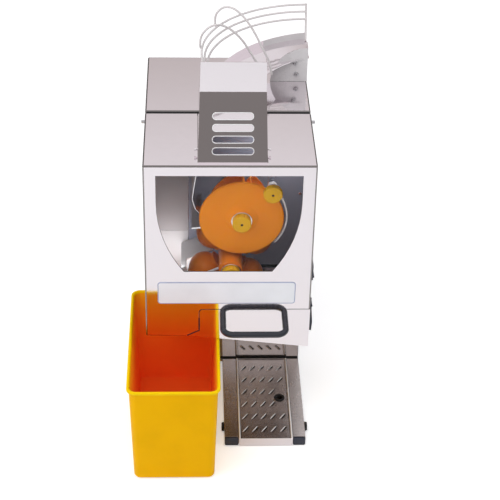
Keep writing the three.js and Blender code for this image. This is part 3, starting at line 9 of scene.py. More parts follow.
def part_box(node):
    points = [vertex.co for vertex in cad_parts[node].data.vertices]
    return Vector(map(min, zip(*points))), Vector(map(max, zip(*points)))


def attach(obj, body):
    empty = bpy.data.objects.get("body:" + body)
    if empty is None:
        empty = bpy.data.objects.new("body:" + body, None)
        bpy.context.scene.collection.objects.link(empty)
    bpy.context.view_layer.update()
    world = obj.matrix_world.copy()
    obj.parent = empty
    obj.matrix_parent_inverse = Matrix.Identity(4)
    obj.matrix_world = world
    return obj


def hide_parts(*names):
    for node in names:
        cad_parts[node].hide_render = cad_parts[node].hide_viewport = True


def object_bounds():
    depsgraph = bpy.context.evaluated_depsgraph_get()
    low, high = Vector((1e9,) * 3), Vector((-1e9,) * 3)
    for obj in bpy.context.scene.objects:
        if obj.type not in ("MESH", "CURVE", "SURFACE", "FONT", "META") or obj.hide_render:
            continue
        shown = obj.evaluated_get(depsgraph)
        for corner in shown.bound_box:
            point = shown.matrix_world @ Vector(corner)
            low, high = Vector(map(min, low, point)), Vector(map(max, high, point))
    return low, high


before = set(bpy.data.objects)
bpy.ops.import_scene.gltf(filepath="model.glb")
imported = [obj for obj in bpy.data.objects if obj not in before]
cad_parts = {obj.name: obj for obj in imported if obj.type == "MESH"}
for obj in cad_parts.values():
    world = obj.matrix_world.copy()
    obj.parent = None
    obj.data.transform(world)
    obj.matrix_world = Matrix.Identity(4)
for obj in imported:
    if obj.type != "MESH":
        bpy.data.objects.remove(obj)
cad_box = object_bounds()

# Camera. It stands in front of the machine and well above it, turned a little to the right,
# as a photographer stands over a counter. Its distance and lens give the converging sides.
corner = np.array([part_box("front_cover")[0].x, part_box("front_cover")[0].y, 0.0])
millimetre = 0.001


def at(x, y, z):
    """A place given in mm from the housing's lower left front corner becomes metres in the frame."""
    return corner + np.array([x, y, z], float) * millimetre


camera_place = at(86.9, -2096.7, 1879.0)
camera_down, camera_right, camera_roll = 0.60829, 0.04779, 0.02637
camera_lens, camera_sensor = 104.03, 36.0

ahead = Vector((
    math.sin(camera_right) * math.cos(camera_down),
    math.cos(camera_right) * math.cos(camera_down),
    -math.sin(camera_down),
))
level = Vector((math.cos(camera_right), -math.sin(camera_right), 0))
upright = level.cross(ahead)
side_axis = level * math.cos(camera_roll) + upright * math.sin(camera_roll)
up_axis = upright * math.cos(camera_roll) - level * math.sin(camera_roll)
camera_data = bpy.data.cameras.new("camera")
camera_data.lens, camera_data.sensor_width = camera_lens, camera_sensor
camera = bpy.data.objects.new("camera", camera_data)
camera_turn = Matrix((side_axis, up_axis, -ahead)).transposed().to_4x4()
camera.matrix_world = Matrix.Translation(camera_place) @ camera_turn
bpy.context.scene.collection.objects.link(camera)
bpy.context.scene.camera = camera
bpy.context.scene.view_settings.view_transform = "Standard"

# Studio. A white floor and an even white surround light the machine from all sides; four broad lamps
# give the steel its soft gradients and the floor a shadow. Two faint lamps inside the press chamber
# stand for the light that its bright walls throw about.
floor_size = 12.0
floor_white = (0.93, 0.93, 0.93, 1)
floor_glow = 0.42  # for the camera alone, so that the floor runs into the surround
surround_white = (1.0, 1.0, 1.0, 1)
surround_grey = (0.8, 0.8, 0.82, 1)
surround_strength = 0.5
mirror_sky = [  # sine of the height above the horizon, what polished sheet mirrors there
    (0.0, (0.5, 0.49, 0.49)), (0.12, (0.2, 0.185, 0.178)), (0.32, (0.2, 0.185, 0.178)),
    (0.45, (0.53, 0.48, 0.47)), (0.53, (0.76, 0.73, 0.74)), (0.9, (0.8, 0.78, 0.79)),
]
machine_middle = np.array(cad_box).mean(0)
lamps = [  # name, place, what it points at, width in metres, watts
    ("top_lamp", (-0.6, -0.9, 2.6), machine_middle, 2.2, 34),
    ("left_lamp", (-2.2, -1.2, 1.4), machine_middle, 1.6, 14),
    ("right_lamp", (2.4, -0.6, 1.6), machine_middle, 1.6, 12),
    ("back_lamp", (0.4, 2.4, 2.0), machine_middle, 1.8, 10),
    ("chamber_low_lamp", at(40, 110, 290), at(40, 190, 330), 0.06, 0.066),
    ("chamber_top_lamp", at(255, 110, 570), at(240, 190, 440), 0.08, 0.13),
]


def placed(name, data):
    """A new object, linked into the scene."""
    made = bpy.data.objects.new(name, data)
    bpy.context.scene.collection.objects.link(made)
    return made


def new_material(name):
    """An empty material; returns it and its node tree."""
    made = bpy.data.materials.new(name)
    made.use_nodes = True
    made.node_tree.nodes.clear()
    return made, made.node_tree


def shader(tree, kind, *values, settings=(), **named):
    """A shader node. Its settings come first; then its inputs, by place or by name with _ for a
    space, are linked to sockets or set to values."""
    made = tree.nodes.new("ShaderNode" + kind)
    for key, value in settings:
        setattr(made, key, value)
    for label, value in [*enumerate(values), *named.items()]:
        socket = made.inputs[label.replace("_", " ") if isinstance(label, str) else label]
        if isinstance(value, bpy.types.NodeSocket):
            tree.links.new(value, socket)
        else:
            socket.default_value = value
    return made


def math_node(tree, kind, *values):
    """A math node fed by sockets or numbers; returns its output."""
    return shader(tree, "Math", *values, settings=[("operation", kind)]).outputs[0]


def fill_ramp(ramp, stops):
    """Sets the stops of a new colour ramp, each a position and a tint."""
    ramp.elements.remove(ramp.elements[0])
    ramp.elements[0].position, ramp.elements[0].color = stops[0][0], (*stops[0][1], 1)
    for position, tint in stops[1:]:
        ramp.elements.new(position).color = (*tint, 1)


floor_mesh = bpy.data.meshes.new("floor")
reach = floor_size / 2
floor_mesh.from_pydata(
    [(-reach, -reach, 0), (reach, -reach, 0), (reach, reach, 0), (-reach, reach, 0)], [], [(0, 1, 2, 3)]
)
floor = placed("floor", floor_mesh)
floor_paint, tree = new_material("floor_paint")
faint = math_node(tree, "MULTIPLY", shader(tree, "LightPath").outputs["Is Camera Ray"], floor_glow)
both = shader(tree, "AddShader", shader(tree, "BsdfDiffuse", Color=floor_white).outputs[0],
              shader(tree, "Emission", Strength=faint).outputs[0])
shader(tree, "OutputMaterial", Surface=both.outputs[0])
floor_mesh.materials.append(floor_paint)

world = bpy.data.worlds.new("studio")
bpy.context.scene.world = world
world.use_nodes = True
sky = world.node_tree
sky.nodes.clear()
sky_ways = shader(sky, "LightPath").outputs
sky_height = shader(sky, "SeparateXYZ", shader(sky, "TexCoord").outputs["Generated"]).outputs["Z"]
sky_ramp = shader(sky, "ValToRGB", sky_height)
fill_ramp(sky_ramp.color_ramp, mirror_sky)
sky_light = shader(sky, "Background", Color=surround_grey, Strength=surround_strength)
sky_mirror = shader(sky, "Background", Color=sky_ramp.outputs["Color"])
sky_shown = shader(sky, "Background", Color=surround_white)
sky_lit = shader(sky, "MixShader", sky_ways["Is Glossy Ray"], sky_light.outputs[0], sky_mirror.outputs[0])
sky_clear = math_node(sky, "MAXIMUM", sky_ways["Is Camera Ray"], sky_ways["Is Transmission Ray"])
sky_mix = shader(sky, "MixShader", sky_clear, sky_lit.outputs[0], sky_shown.outputs[0])
shader(sky, "OutputWorld", Surface=sky_mix.outputs[0])

for name, place, target, width, power in lamps:
    lamp_data = bpy.data.lights.new(name, "AREA")
    lamp_data.shape, lamp_data.size, lamp_data.size_y = "RECTANGLE", width, width
    lamp_data.energy = power
    lamp = placed(name, lamp_data)
    lamp.location = place
    lamp.rotation_mode = "QUATERNION"
    lamp.rotation_quaternion = (Vector(target) - Vector(place)).to_track_quat("-Z", "Y")
    lamp.visible_glossy = lamp.visible_camera = False

# Cabinet. Folded stainless sheet with a mirror polish outside: the rear shell, and its louvred back.
# Fine polishing lines run across the sheet, finger marks dull it a little, and a dark steel on the folds is a
# painted shade line.
steel_tint = (0.93, 0.88, 0.91, 1)
satin_tint = (0.62, 0.575, 0.56, 1)
# Painted shade: the dark tint that the folds take, for the shade in the bends.
fold_shade_tint = (0.3, 0.28, 0.275, 1)
fold_radius = 2.8 * millimetre
thin_edge = 0.35 * millimetre
seam_gap, side_slack = 0.01 * millimetre, 0.05 * millimetre
flat_angle = math.radians(0.5)


def node_group(name, inputs, outputs):
    """An empty shader group with sockets given as name to type; returns it, its inputs and outputs."""
    tree = bpy.data.node_groups.new(name, "ShaderNodeTree")
    for way, sockets in (("INPUT", inputs), ("OUTPUT", outputs)):
        for label, kind in sockets.items():
            tree.interface.new_socket(name=label, in_out=way, socket_type="NodeSocket" + kind)
    return tree, tree.nodes.new("NodeGroupInput").outputs, tree.nodes.new("NodeGroupOutput").inputs


def noise(tree, vector, scale, detail, roughness):
    """A noise texture between about 0.3 and 0.7 on the given vector."""
    made = shader(tree, "TexNoise", Vector=vector, Scale=scale, Detail=detail, Roughness=roughness)
    return made.outputs["Fac"]


def toned(tree, colour, tone):
    """A colour, given as a value or a socket, darkened by a grey tone; returns the mixed output."""
    mix = [("data_type", "RGBA"), ("blend_type", "MULTIPLY")]
    return shader(tree, "Mix", settings=mix, Factor=1.0, A=colour, B=tone).outputs["Result"]


# Lines along the stretched direction change roughness and height; broad noise is finger marks.
sheet_finish, entry, leave = node_group(
    "sheet_finish",
    {"Lines": "Vector", "Place": "Vector", "Roughness": "Float", "Line Depth": "Float", "Marks": "Float"},
    {"Roughness": "Float", "Height": "Float", "Tone": "Float"},
)
fine = noise(sheet_finish, entry["Lines"], 1.0, 3.0, 0.6)
marks = noise(sheet_finish, entry["Place"], 9.0, 4.0, 0.6)
fine_off = math_node(sheet_finish, "SUBTRACT", fine, 0.5)
marks_off = math_node(sheet_finish, "SUBTRACT", marks, 0.5)
line_part = math_node(sheet_finish, "MULTIPLY", fine_off, entry["Line Depth"])
mark_part = math_node(sheet_finish, "MULTIPLY", marks_off, entry["Marks"])
rough_sum = math_node(sheet_finish, "ADD", line_part, mark_part)
rough_total = math_node(sheet_finish, "ADD", rough_sum, entry["Roughness"])
for start, end in (
    (math_node(sheet_finish, "MAXIMUM", rough_total, 0.02), "Roughness"),
    (fine, "Height"),
    (math_node(sheet_finish, "MULTIPLY_ADD", rough_sum, -0.6, 1.0), "Tone"),
):
    sheet_finish.links.new(start, leave[end])


def steel(name, tint, roughness, stretch, line_depth=0.05, marks=0.05, bump=0.02):
    """Stainless sheet; stretch is how many lines a metre lie along X, Y and Z."""
    made, tree = new_material(name)
    place = shader(tree, "TexCoord").outputs["Object"]
    lines = shader(tree, "Mapping", Vector=place, Scale=stretch).outputs[0]
    finish = shader(tree, "Group", settings=[("node_tree", sheet_finish)], Lines=lines, Place=place,
                    Roughness=roughness, Line_Depth=line_depth, Marks=marks).outputs
    relief = shader(tree, "Bump", Strength=bump, Distance=0.2 * millimetre, Height=finish["Height"])
    metal = shader(tree, "BsdfPrincipled", Base_Color=toned(tree, tint, finish["Tone"]), Metallic=1.0,
                   Roughness=finish["Roughness"], Normal=relief.outputs[0])
    shader(tree, "OutputMaterial", Surface=metal.outputs[0])
    return made


def dress(node, paint, edge=0.0, steps=2, sharp=30, bend=0.0):
    """A CAD node keeps its shape and gets its material and, where edge is given, rounded edges; bend
    is the larger radius of the folds, which are the edges that lie on two sides of the node's box."""
    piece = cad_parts[node]
    piece.data.materials.clear()
    piece.data.materials.append(paint)
    if not edge:
        return piece
    merge = piece.modifiers.new("merge", "WELD")
    merge.merge_threshold = seam_gap
    flat = piece.modifiers.new("flat", "DECIMATE")
    flat.decimate_type, flat.angle_limit = "DISSOLVE", flat_angle
    if bend:
        places = np.array([vertex.co for vertex in piece.data.vertices])
        ends = places[np.array([line.vertices for line in piece.data.edges])]
        sides = [np.abs(ends - side).max(1) < side_slack for side in (places.min(0), places.max(0))]
        weight = piece.data.attributes.new("bevel_weight_edge", "FLOAT", "EDGE")
        weight.data.foreach_set("value", (np.hstack(sides).sum(1) >= 2).astype(np.float32))
        # The fold faces take the dark fold steel: a painted shade line along each bend.
        fold = piece.modifiers.new("fold", "BEVEL")
        fold.width, fold.segments, fold.material = bend, 5, 1
        piece.data.materials.append(fold_shade_steel)
        fold.limit_method, fold.use_clamp_overlap = "WEIGHT", False
    bevel = piece.modifiers.new("edges", "BEVEL")
    bevel.width, bevel.segments = edge, steps
    bevel.limit_method, bevel.angle_limit = "ANGLE", math.radians(sharp)
    even = piece.modifiers.new("even", "WEIGHTED_NORMAL")
    even.mode, even.weight, even.keep_sharp = "FACE_AREA", 100, False
    piece.data.polygons.foreach_set("use_smooth", [True] * len(piece.data.polygons))
    return piece


def repaint(piece, paint, choose):
    """Another material for those faces of a piece that choose picks by centre, in mm from the
    housing's front left corner, and by facing."""
    mesh = piece.data
    centre, facing = np.empty(3 * len(mesh.polygons)), np.empty(3 * len(mesh.polygons))
    mesh.polygons.foreach_get("center", centre)
    mesh.polygons.foreach_get("normal", facing)
    index = np.empty(len(mesh.polygons), np.int32)
    mesh.polygons.foreach_get("material_index", index)
    mesh.materials.append(paint)
    picked = choose((centre.reshape(-1, 3) - corner) / millimetre, facing.reshape(-1, 3))
    index[picked] = len(mesh.materials) - 1
    mesh.polygons.foreach_set("material_index", index)


def box_mm(node):
    """The two corners of a CAD node's box, in mm from the housing's corner."""
    return (np.array(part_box(node)) - corner) / millimetre


wall_face = box_mm("cabinet_shell")[0][1]
mirror_steel = steel("mirror_steel", steel_tint, 0.07, (60, 60, 900), 0.05, 0.05)
# The cabinet's front wall is the same polished sheet as the rest; this darker copy is a painted dark
# reflection.
wall_shade_steel = steel("wall_shade_steel", satin_tint, 0.08, (900, 60, 60), 0.05, 0.05)
satin_steel = steel("satin_steel", satin_tint, 0.22, (700, 25, 700), 0.07, 0.35, 0.02)
fold_shade_steel = steel("fold_shade_steel", fold_shade_tint, 0.2, (60, 60, 900), 0.05, 0.05)
shell_piece = dress("cabinet_shell", mirror_steel, thin_edge, bend=fold_radius)
# Painted shade: the shell's front-facing wall faces take the darker copy of the polish.
repaint(shell_piece, wall_shade_steel, lambda at_mm, facing: (facing[:, 1] < -0.9) & (at_mm[:, 1] < wall_face + 1))
for node in ("back_panel", "chamber_roof", "chamber_wall_left", "chamber_wall_right",
             "tank_rail_left", "tank_rail_right"):
    dress(node, satin_steel, thin_edge)

# Base frame. The cabinet floor and its two hollow rails are one satin sheet part; black moulded caps
# close the rail ends, and the bumpers and feet are rubber.
cap_black = (0.03, 0.034, 0.052, 1)
rubber_black = (0.012, 0.012, 0.013, 1)
sink_share, sink_reach = 0.35, (1.0, 0.45, 0.12)  # of the light that sinks in, and by red, green, blue

plastic_skin, entry, leave = node_group(
    "plastic_skin",
    {"Place": "Vector", "Colour": "Color", "Roughness": "Float", "Grain": "Float"},
    {"Colour": "Color", "Roughness": "Float", "Height": "Float"},
)
grain = noise(plastic_skin, entry["Place"], 900.0, 2.0, 0.5)
cloud = noise(plastic_skin, entry["Place"], 14.0, 3.0, 0.55)
cloud_tone = math_node(plastic_skin, "MULTIPLY_ADD", cloud, 0.22, 0.89)
cloud_rough = math_node(plastic_skin, "MULTIPLY_ADD", cloud, 0.16, -0.08)
grain_rough = math_node(plastic_skin, "MULTIPLY", grain, entry["Grain"])
rough_added = math_node(plastic_skin, "ADD", cloud_rough, grain_rough)
for start, end in (
    (toned(plastic_skin, entry["Colour"], cloud_tone), "Colour"),
    (math_node(plastic_skin, "ADD", rough_added, entry["Roughness"]), "Roughness"),
    (grain, "Height"),
):
    plastic_skin.links.new(start, leave[end])


def plastic(name, colour, roughness, grain=0.1, bump=0.1, depth=0.0, gloss=0.5, through=None):
    """Moulded plastic or rubber; depth above 0 lets light sink in, gloss is how much it mirrors, and
    through is the tint of a faint glow, painted light that stands for the light shining through a thin wall."""
    made, tree = new_material(name)
    place = shader(tree, "TexCoord").outputs["Object"]
    skin = shader(tree, "Group", settings=[("node_tree", plastic_skin)], Place=place, Colour=colour,
                  Roughness=roughness, Grain=grain).outputs
    relief = shader(tree, "Bump", Strength=bump, Distance=0.1 * millimetre, Height=skin["Height"])
    light = {}
    if depth:
        light.update(Subsurface_Weight=sink_share, Subsurface_Radius=sink_reach, Subsurface_Scale=depth)
    # Painted light: a faint emission stands for the light that comes through the wall.
    if through:
        light.update(Emission_Color=through, Emission_Strength=1.0)
    body = shader(tree, "BsdfPrincipled", Base_Color=skin["Colour"], Roughness=skin["Roughness"],
                  Specular_IOR_Level=gloss, Normal=relief.outputs[0], **light)
    shader(tree, "OutputMaterial", Surface=body.outputs[0])
    return made


def patch(points, caps=(False, False)):
    """Vertices and faces of a stack of closed rings of points; caps close the first and the last
    ring with one flat face each."""
    rows, columns = points.shape[:2]
    row, column = np.meshgrid(np.arange(rows - 1) * columns, np.arange(columns), indexing="ij")
    after = (column + 1) % columns
    quads = np.stack([row + column, row + after, row + columns + after, row + columns + column], -1)
    faces = quads.reshape(-1, 4).tolist()
    if caps[0]:
        faces.append(list(range(columns))[::-1])
    if caps[1]:
        faces.append(list(range((rows - 1) * columns, rows * columns)))
    return points.reshape(-1, 3), faces


def new_piece(name, patches, body, paint, replaces=(), sharp=40):
    """Puts patches into one mesh with closed seams and faces that point out, and hangs it on a body."""
    mesh = bpy.data.meshes.new(name)
    count, places, faces = 0, [], []
    for points, polygons in patches:
        places.append(points)
        faces.extend([[index + count for index in polygon] for polygon in polygons])
        count += len(points)
    mesh.from_pydata(np.concatenate(places).tolist(), [], faces)
    work = bmesh.new()
    work.from_mesh(mesh)
    bmesh.ops.remove_doubles(work, verts=work.verts, dist=0.002 * millimetre)
    bmesh.ops.dissolve_degenerate(work, edges=work.edges, dist=0.001 * millimetre)
    bmesh.ops.recalc_face_normals(work, faces=work.faces)
    work.to_mesh(mesh)
    work.free()
    mesh.polygons.foreach_set("use_smooth", [True] * len(mesh.polygons))
    mesh.set_sharp_from_angle(angle=math.radians(sharp))
    mesh.materials.append(paint)
    piece = placed(name, mesh)
    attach(piece, body)
    if replaces:
        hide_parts(*replaces)
    return piece


def pillow_box(low, high, radius, arc=5):
    """A box with round edges: a sphere of the given radius whose eight octants move apart."""
    low, high = np.array(low, float), np.array(high, float)
    turn = np.linspace(0, np.pi / 2, arc + 1)
    longitude = np.concatenate([turn + quarter * np.pi / 2 for quarter in range(4)])
    signs_x = np.repeat([1, -1, -1, 1], arc + 1)
    signs_y = np.repeat([1, 1, -1, -1], arc + 1)
    latitude = np.concatenate([turn - np.pi / 2, turn])
    signs_z = np.repeat([-1, 1], arc + 1)
    core = (high - low) / 2 - radius
    lat, lon = latitude[:, None], longitude[None, :]
    x = radius * np.cos(lat) * np.cos(lon) + core[0] * signs_x[None, :]
    y = radius * np.cos(lat) * np.sin(lon) + core[1] * signs_y[None, :]
    z = radius * np.sin(lat) + core[2] * signs_z[:, None] + 0 * x
    points = np.stack([x, y, z], -1) + (low + high) / 2
    return patch(points, caps=(True, True))


cap_plastic = plastic("cap_plastic", cap_black, 0.28, 0.1, 0.15)
soft_rubber = plastic("soft_rubber", rubber_black, 0.6, 0.3, 0.4)
dress("base_frame", satin_steel, 1.0 * millimetre, 3)
frame_top = box_mm("base_frame")[1][2]
housing_width, _, housing_top = box_mm("front_cover")[1]
# Two black strips stand where there is only shade: painted shade lines at the foot of the cabinet wall above
# the tray and at the top of the wall behind the cover.
for name, inset, front, rear, low, high, rounding in (
    ("wall_foot_shade_strip", 1.0, 2.0, 0.2, frame_top + 0.2, frame_top + 2.4, 0.6),
    ("roof_shade_strip", 2.0, 5.8, 0.6, housing_top - 4.9, housing_top - 0.4, 1.2),
):
    strip = pillow_box(at(inset, wall_face - front, low), at(housing_width - inset, wall_face - rear, high),
                       rounding * millimetre)
    new_piece(name, [strip], "housing", soft_rubber)
for node in ("front_foot_left", "front_foot_right"):
    low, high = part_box(node)
    new_piece(node + "_cap", [pillow_box(low, high, 3.2 * millimetre, 6)], "housing",
              cap_plastic, [node])


def turned(profile, origin, axis, sides=64):
    """A profile of radius and distance along an axis, turned about that axis through origin."""
    profile = np.array(profile, float)
    axis = np.array(axis, float)
    across = np.cross(axis, [0.0, 0.0, 1.0] if abs(axis[2]) < 0.9 else [1.0, 0.0, 0.0])
    across = across / np.linalg.norm(across)
    third = np.cross(axis, across)
    angle = np.linspace(0, 2 * np.pi, sides, endpoint=False)
    ring = np.cos(angle)[:, None] * across + np.sin(angle)[:, None] * third
    points = profile[:, None, :1] * ring[None] + profile[:, None, 1:] * axis + np.array(origin)
    return patch(points)


def rounded(profile, radius, steps=5):
    """The corners of a profile become arcs: each corner is replaced by a quadratic curve."""
    profile = np.array(profile, float)
    done = [profile[0]]
    for before, here, after in zip(profile[:-2], profile[1:-1], profile[2:]):
        back, on = before - here, after - here
        cut_back = min(radius, 0.45 * np.linalg.norm(back))
        cut_on = min(radius, 0.45 * np.linalg.norm(on))
        start = here + back / np.linalg.norm(back) * cut_back
        end = here + on / np.linalg.norm(on) * cut_on
        for t in np.linspace(0, 1, steps + 1):
            done.append((1 - t) ** 2 * start + 2 * t * (1 - t) * here + t ** 2 * end)
    done.append(profile[-1])
    return np.array(done)


foot_taper = 0.86
bumper_shoulder, bumper_dimple, dimple_height = 0.92, 0.4, 0.8
for node in ("rear_foot_left", "rear_foot_right", "middle_foot_left"):
    low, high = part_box(node)
    middle_x, middle_y = (low.x + high.x) / 2, (low.y + high.y) / 2
    radius, height = (high.x - low.x) / 2, high.z - low.z
    foot_line = [(0, 0), (radius * foot_taper, 0), (radius, height), (0, height)]
    new_piece(node + "_pad", [turned(rounded(foot_line, 1.2 * millimetre), (middle_x, middle_y, low.z),
              (0, 0, 1), 48)], "housing", soft_rubber, [node])
for node, outward in (("bumper_left", -1), ("bumper_right", 1)):
    low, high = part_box(node)
    radius, height = (high.z - low.z) / 2, high.x - low.x
    start = low.x if outward > 0 else high.x
    bumper_line = [(0, 0), (radius, 0), (radius * bumper_shoulder, height),
                   (radius * bumper_dimple, height), (0, height * dimple_height)]
    new_piece(node + "_button", [turned(rounded(bumper_line, 1.2 * millimetre),
              (start, (low.y + high.y) / 2, (low.z + high.z) / 2), (outward, 0, 0), 40)],
              "housing", soft_rubber, [node])

# Drip tray. A shallow satin drawer whose front plate is polished bright, with a punched lift-off grid.
# A pressed-up lip edges each slanted slot, and a rubber ring edges the finger hole. The lips and the tray's
# side beads are painted pale: a painted highlight.
bright_tint, lip_highlight_tint = (0.9, 0.9, 0.92, 1), (0.85, 0.84, 0.85, 1)
bright_steel = steel("bright_steel", bright_tint, 0.12, (900, 60, 60), 0.05, 0.04)
# A pale paint for steel edges: a painted highlight on the grid's lips, the tray's beads and the hopper's
# slots.
lip_highlight_paint = plastic("lip_highlight_paint", lip_highlight_tint, 0.2, 0.03, 0.02)
tray_piece = dress("drip_tray", satin_steel, 0.4 * millimetre)
tray_low, tray_high = box_mm("drip_tray")
bead_width, bead_height, tray_front_plate = 3.3, 7.5, 5.0
repaint(tray_piece, mirror_steel, lambda at_mm, facing: (facing[:, 1] < -0.9)
        & (at_mm[:, 1] < tray_low[1] + tray_front_plate))
# Painted highlight: the tray's side beads take the pale paint.
repaint(tray_piece, lip_highlight_paint, lambda at_mm, facing: (at_mm[:, 2] > tray_high[2] - bead_height)
        & ((at_mm[:, 0] < tray_low[0] + bead_width) | (at_mm[:, 0] > tray_high[0] - bead_width))
        & (at_mm[:, 1] > tray_low[1] + tray_front_plate))
dress("drip_grid", satin_steel, 0.3 * millimetre, 2, 25)
grid_low, grid_high = box_mm("drip_grid")
grid_middle, grid_top = (grid_low[0] + grid_high[0]) / 2, grid_high[2]
slot_rows, slot_columns = 6, 5
column_pitch, row_pitch, last_row, slot_lean = 18.0, 36.5, 156.0, math.radians(34)
hole_x, hole_y, hole_clear = grid_middle + 1.73 * column_pitch, last_row - 2.48 * row_pitch, 20.8


def smooth_path(points, count):
    """A Catmull-Rom curve through the points: on each span the cubic whose end slopes are half the
    difference of the neighbours."""
    points = np.array(points, float)
    ends = np.concatenate([[2 * points[0] - points[1]], points, [2 * points[-1] - points[-2]]])
    t = np.linspace(0, len(points) - 1, count)
    span = np.minimum(t.astype(int), len(points) - 2)
    u = (t - span)[:, None]
    a, b, c, d = ends[span], ends[span + 1], ends[span + 2], ends[span + 3]
    bend, twist = 2 * a - 5 * b + 4 * c - d, 3 * b - a - 3 * c + d
    return 0.5 * (2 * b + (c - a) * u + bend * u ** 2 + twist * u ** 3)


def tube(path, radius, sides=20):
    """A round section carried along a path; its frame is the path's best plane and the tangent."""
    tangent = np.gradient(path, axis=0)
    tangent = tangent / np.linalg.norm(tangent, axis=1, keepdims=True)
    plane = np.linalg.svd(path - path.mean(0))[2][2]
    side = plane - (tangent @ plane)[:, None] * tangent
    side = side / np.linalg.norm(side, axis=1, keepdims=True)
    over = np.cross(tangent, side)
    angle = np.linspace(0, 2 * np.pi, sides, endpoint=False)
    radius = np.broadcast_to(np.asarray(radius, float), (len(path),))[:, None, None]
    ring = np.cos(angle)[None, :, None] * side[:, None] + np.sin(angle)[None, :, None] * over[:, None]
    return patch(path[:, None] + radius * ring, caps=(True, True))


def slot_lip(x, y, half_length=9.6, offset=2.6, end_radius=0.25, swell=0.85, steps=14):
    """The pressed-up lip along one slot: a half-round bead whose radius fades to its ends as the
    square root of one minus the square of the way along."""
    along = np.linspace(-1, 1, steps)
    places = np.stack([x + half_length * along * math.sin(slot_lean) - offset * math.cos(slot_lean),
                       y + half_length * along * math.cos(slot_lean) + offset * math.sin(slot_lean),
                       np.full(steps, grid_top - 0.1)], -1)
    return tube(places * millimetre + corner, (end_radius + swell * np.sqrt(1 - along ** 2)) * millimetre, 12)


lips = []
for row in range(slot_rows):
    for column in range(slot_columns):
        slot_x = grid_middle + (column - (slot_columns - 1) / 2) * column_pitch
        slot_y = last_row - row * row_pitch
        if math.hypot(slot_x - hole_x, slot_y - hole_y) > hole_clear:
            lips.append(slot_lip(slot_x, slot_y))
# The lips take the pale paint as a painted highlight along each slot.
new_piece("drip_grid_lips", lips, "drip_grid", lip_highlight_paint, sharp=50)
edging_bore, edging_neck, edging_brim, edging_drop, edging_rise = 6.0, 8.7, 10.6, 1.6, 1.8
edging_line = rounded([(edging_bore, -edging_drop), (edging_bore, edging_rise),
                       (edging_brim - 0.4, edging_rise), (edging_brim, 0.0), (edging_neck, 0.0),
                       (edging_neck, -edging_drop), (edging_bore, -edging_drop)], 0.5)
new_piece("drip_grid_edging", [turned(edging_line * millimetre, at(hole_x, hole_y, grid_top), (0, 0, 1), 48)],
          "drip_grid", soft_rubber)

# Peel bin. One injection moulding in glossy yellow; the walls draw in to the foot, and a rolled rim runs
# round the mouth. Painted light: the rim is a lighter yellow, for the light it catches, and the inside is
# a deep orange that darkens towards the floor, with a faint glow, for the light that bounces between the
# walls.
bin_yellow, bin_lit_rim_yellow = (1.0, 0.53, 0.0, 1), (1.0, 0.66, 0.0, 1)
bin_painted_glow_red = (0.034, 0.0025, 0.001, 1)
bin_plastic = plastic("bin_plastic", bin_yellow, 0.3, 0.06, 0.06, gloss=0.03)
# A lighter yellow for the rim: painted light, where its top catches the light.
bin_lit_rim = plastic("bin_lit_rim", bin_lit_rim_yellow, 0.3, 0.06, 0.06, gloss=0.1)
bin_shaded_inside = plastic("bin_shaded_inside", bin_yellow, 0.34, 0.06, 0.06, gloss=0.2, through=bin_painted_glow_red)
# Painted shade: the inside darkens towards the floor, for the light that bounces between the walls.
bin_depth_shade_tints = [  # share of the height, tint of the lining there
    (0.0, (0.95, 0.17, 0.02)), (0.45, (1.0, 0.24, 0.02)), (1.0, (1.0, 0.5, 0.01)),
]
bin_shade_low, bin_shade_high = 0.01, 0.215
tree = bin_shaded_inside.node_tree
height = shader(tree, "SeparateXYZ", shader(tree, "TexCoord").outputs["Object"]).outputs["Z"]
depth = shader(tree, "MapRange", Value=height, From_Min=bin_shade_low, From_Max=bin_shade_high)
depth_shade_tint = shader(tree, "ValToRGB", depth.outputs["Result"])
fill_ramp(depth_shade_tint.color_ramp, bin_depth_shade_tints)
inside_shade_skin = next(node for node in tree.nodes if node.type == "GROUP")
tree.links.new(depth_shade_tint.outputs["Color"], inside_shade_skin.inputs["Colour"])


def rounded_ring(low_x, high_x, low_y, high_y, radius, z, arc=10):
    """A level rounded rectangle: four quarter circles joined by straight sides."""
    turn = np.linspace(0, np.pi / 2, arc + 1)
    corners = [(high_x, low_y, -1, 1, -1), (high_x, high_y, 0, 1, 1),
               (low_x, high_y, 1, -1, 1), (low_x, low_y, 2, -1, -1)]
    parts = []
    for x, y, quarter, side_x, side_y in corners:
        angle = turn + quarter * np.pi / 2
        parts.append(np.stack([x - side_x * radius + radius * np.cos(angle),
                               y - side_y * radius + radius * np.sin(angle),
                               np.full_like(angle, z)], -1))
    return np.concatenate(parts)


bin_low, bin_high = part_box("peel_bin")
bin_top = bin_high.z / millimetre
bin_draft, bin_wall, bin_corner, bin_roll = 6.0, 2.5, 16.0, 3.5
bin_outside = [  # inset from the rim's outermost line, height
    (bin_draft + bin_roll + 5, 3.0), (bin_draft + bin_roll + 1.2, 3.6), (bin_draft + bin_roll, 6.5),
    (bin_roll + 0.7, bin_top - 10), (bin_roll, bin_top - 7.5), (bin_roll * 0.5, bin_top - 6.8),
    (0.5, bin_top - 6.0), (0.0, bin_top - 4.6), (0.0, bin_top - 2.6), (0.7, bin_top - 0.9),
    (2.0, bin_top), (3.6, bin_top - 0.2), (5.0, bin_top - 1.4), (bin_roll + bin_wall, bin_top - 4),
]
bin_inside = [
    (bin_roll + bin_wall, bin_top - 4), (bin_draft + bin_roll + bin_wall - 0.3, 12),
    (bin_draft + bin_roll + bin_wall + 1.6, 7), (bin_draft + bin_roll + bin_wall + 6, 5.5),
]


def bin_skin(rows):
    """Rounded rectangles, each drawn in by its inset, follow one another up the wall."""
    rings = [rounded_ring(bin_low.x + inset * millimetre, bin_high.x - inset * millimetre,
                          bin_low.y + inset * millimetre, bin_high.y - inset * millimetre,
                          max(bin_corner - 0.45 * inset, 3) * millimetre, height * millimetre)
             for inset, height in rows]
    return np.array(rings)


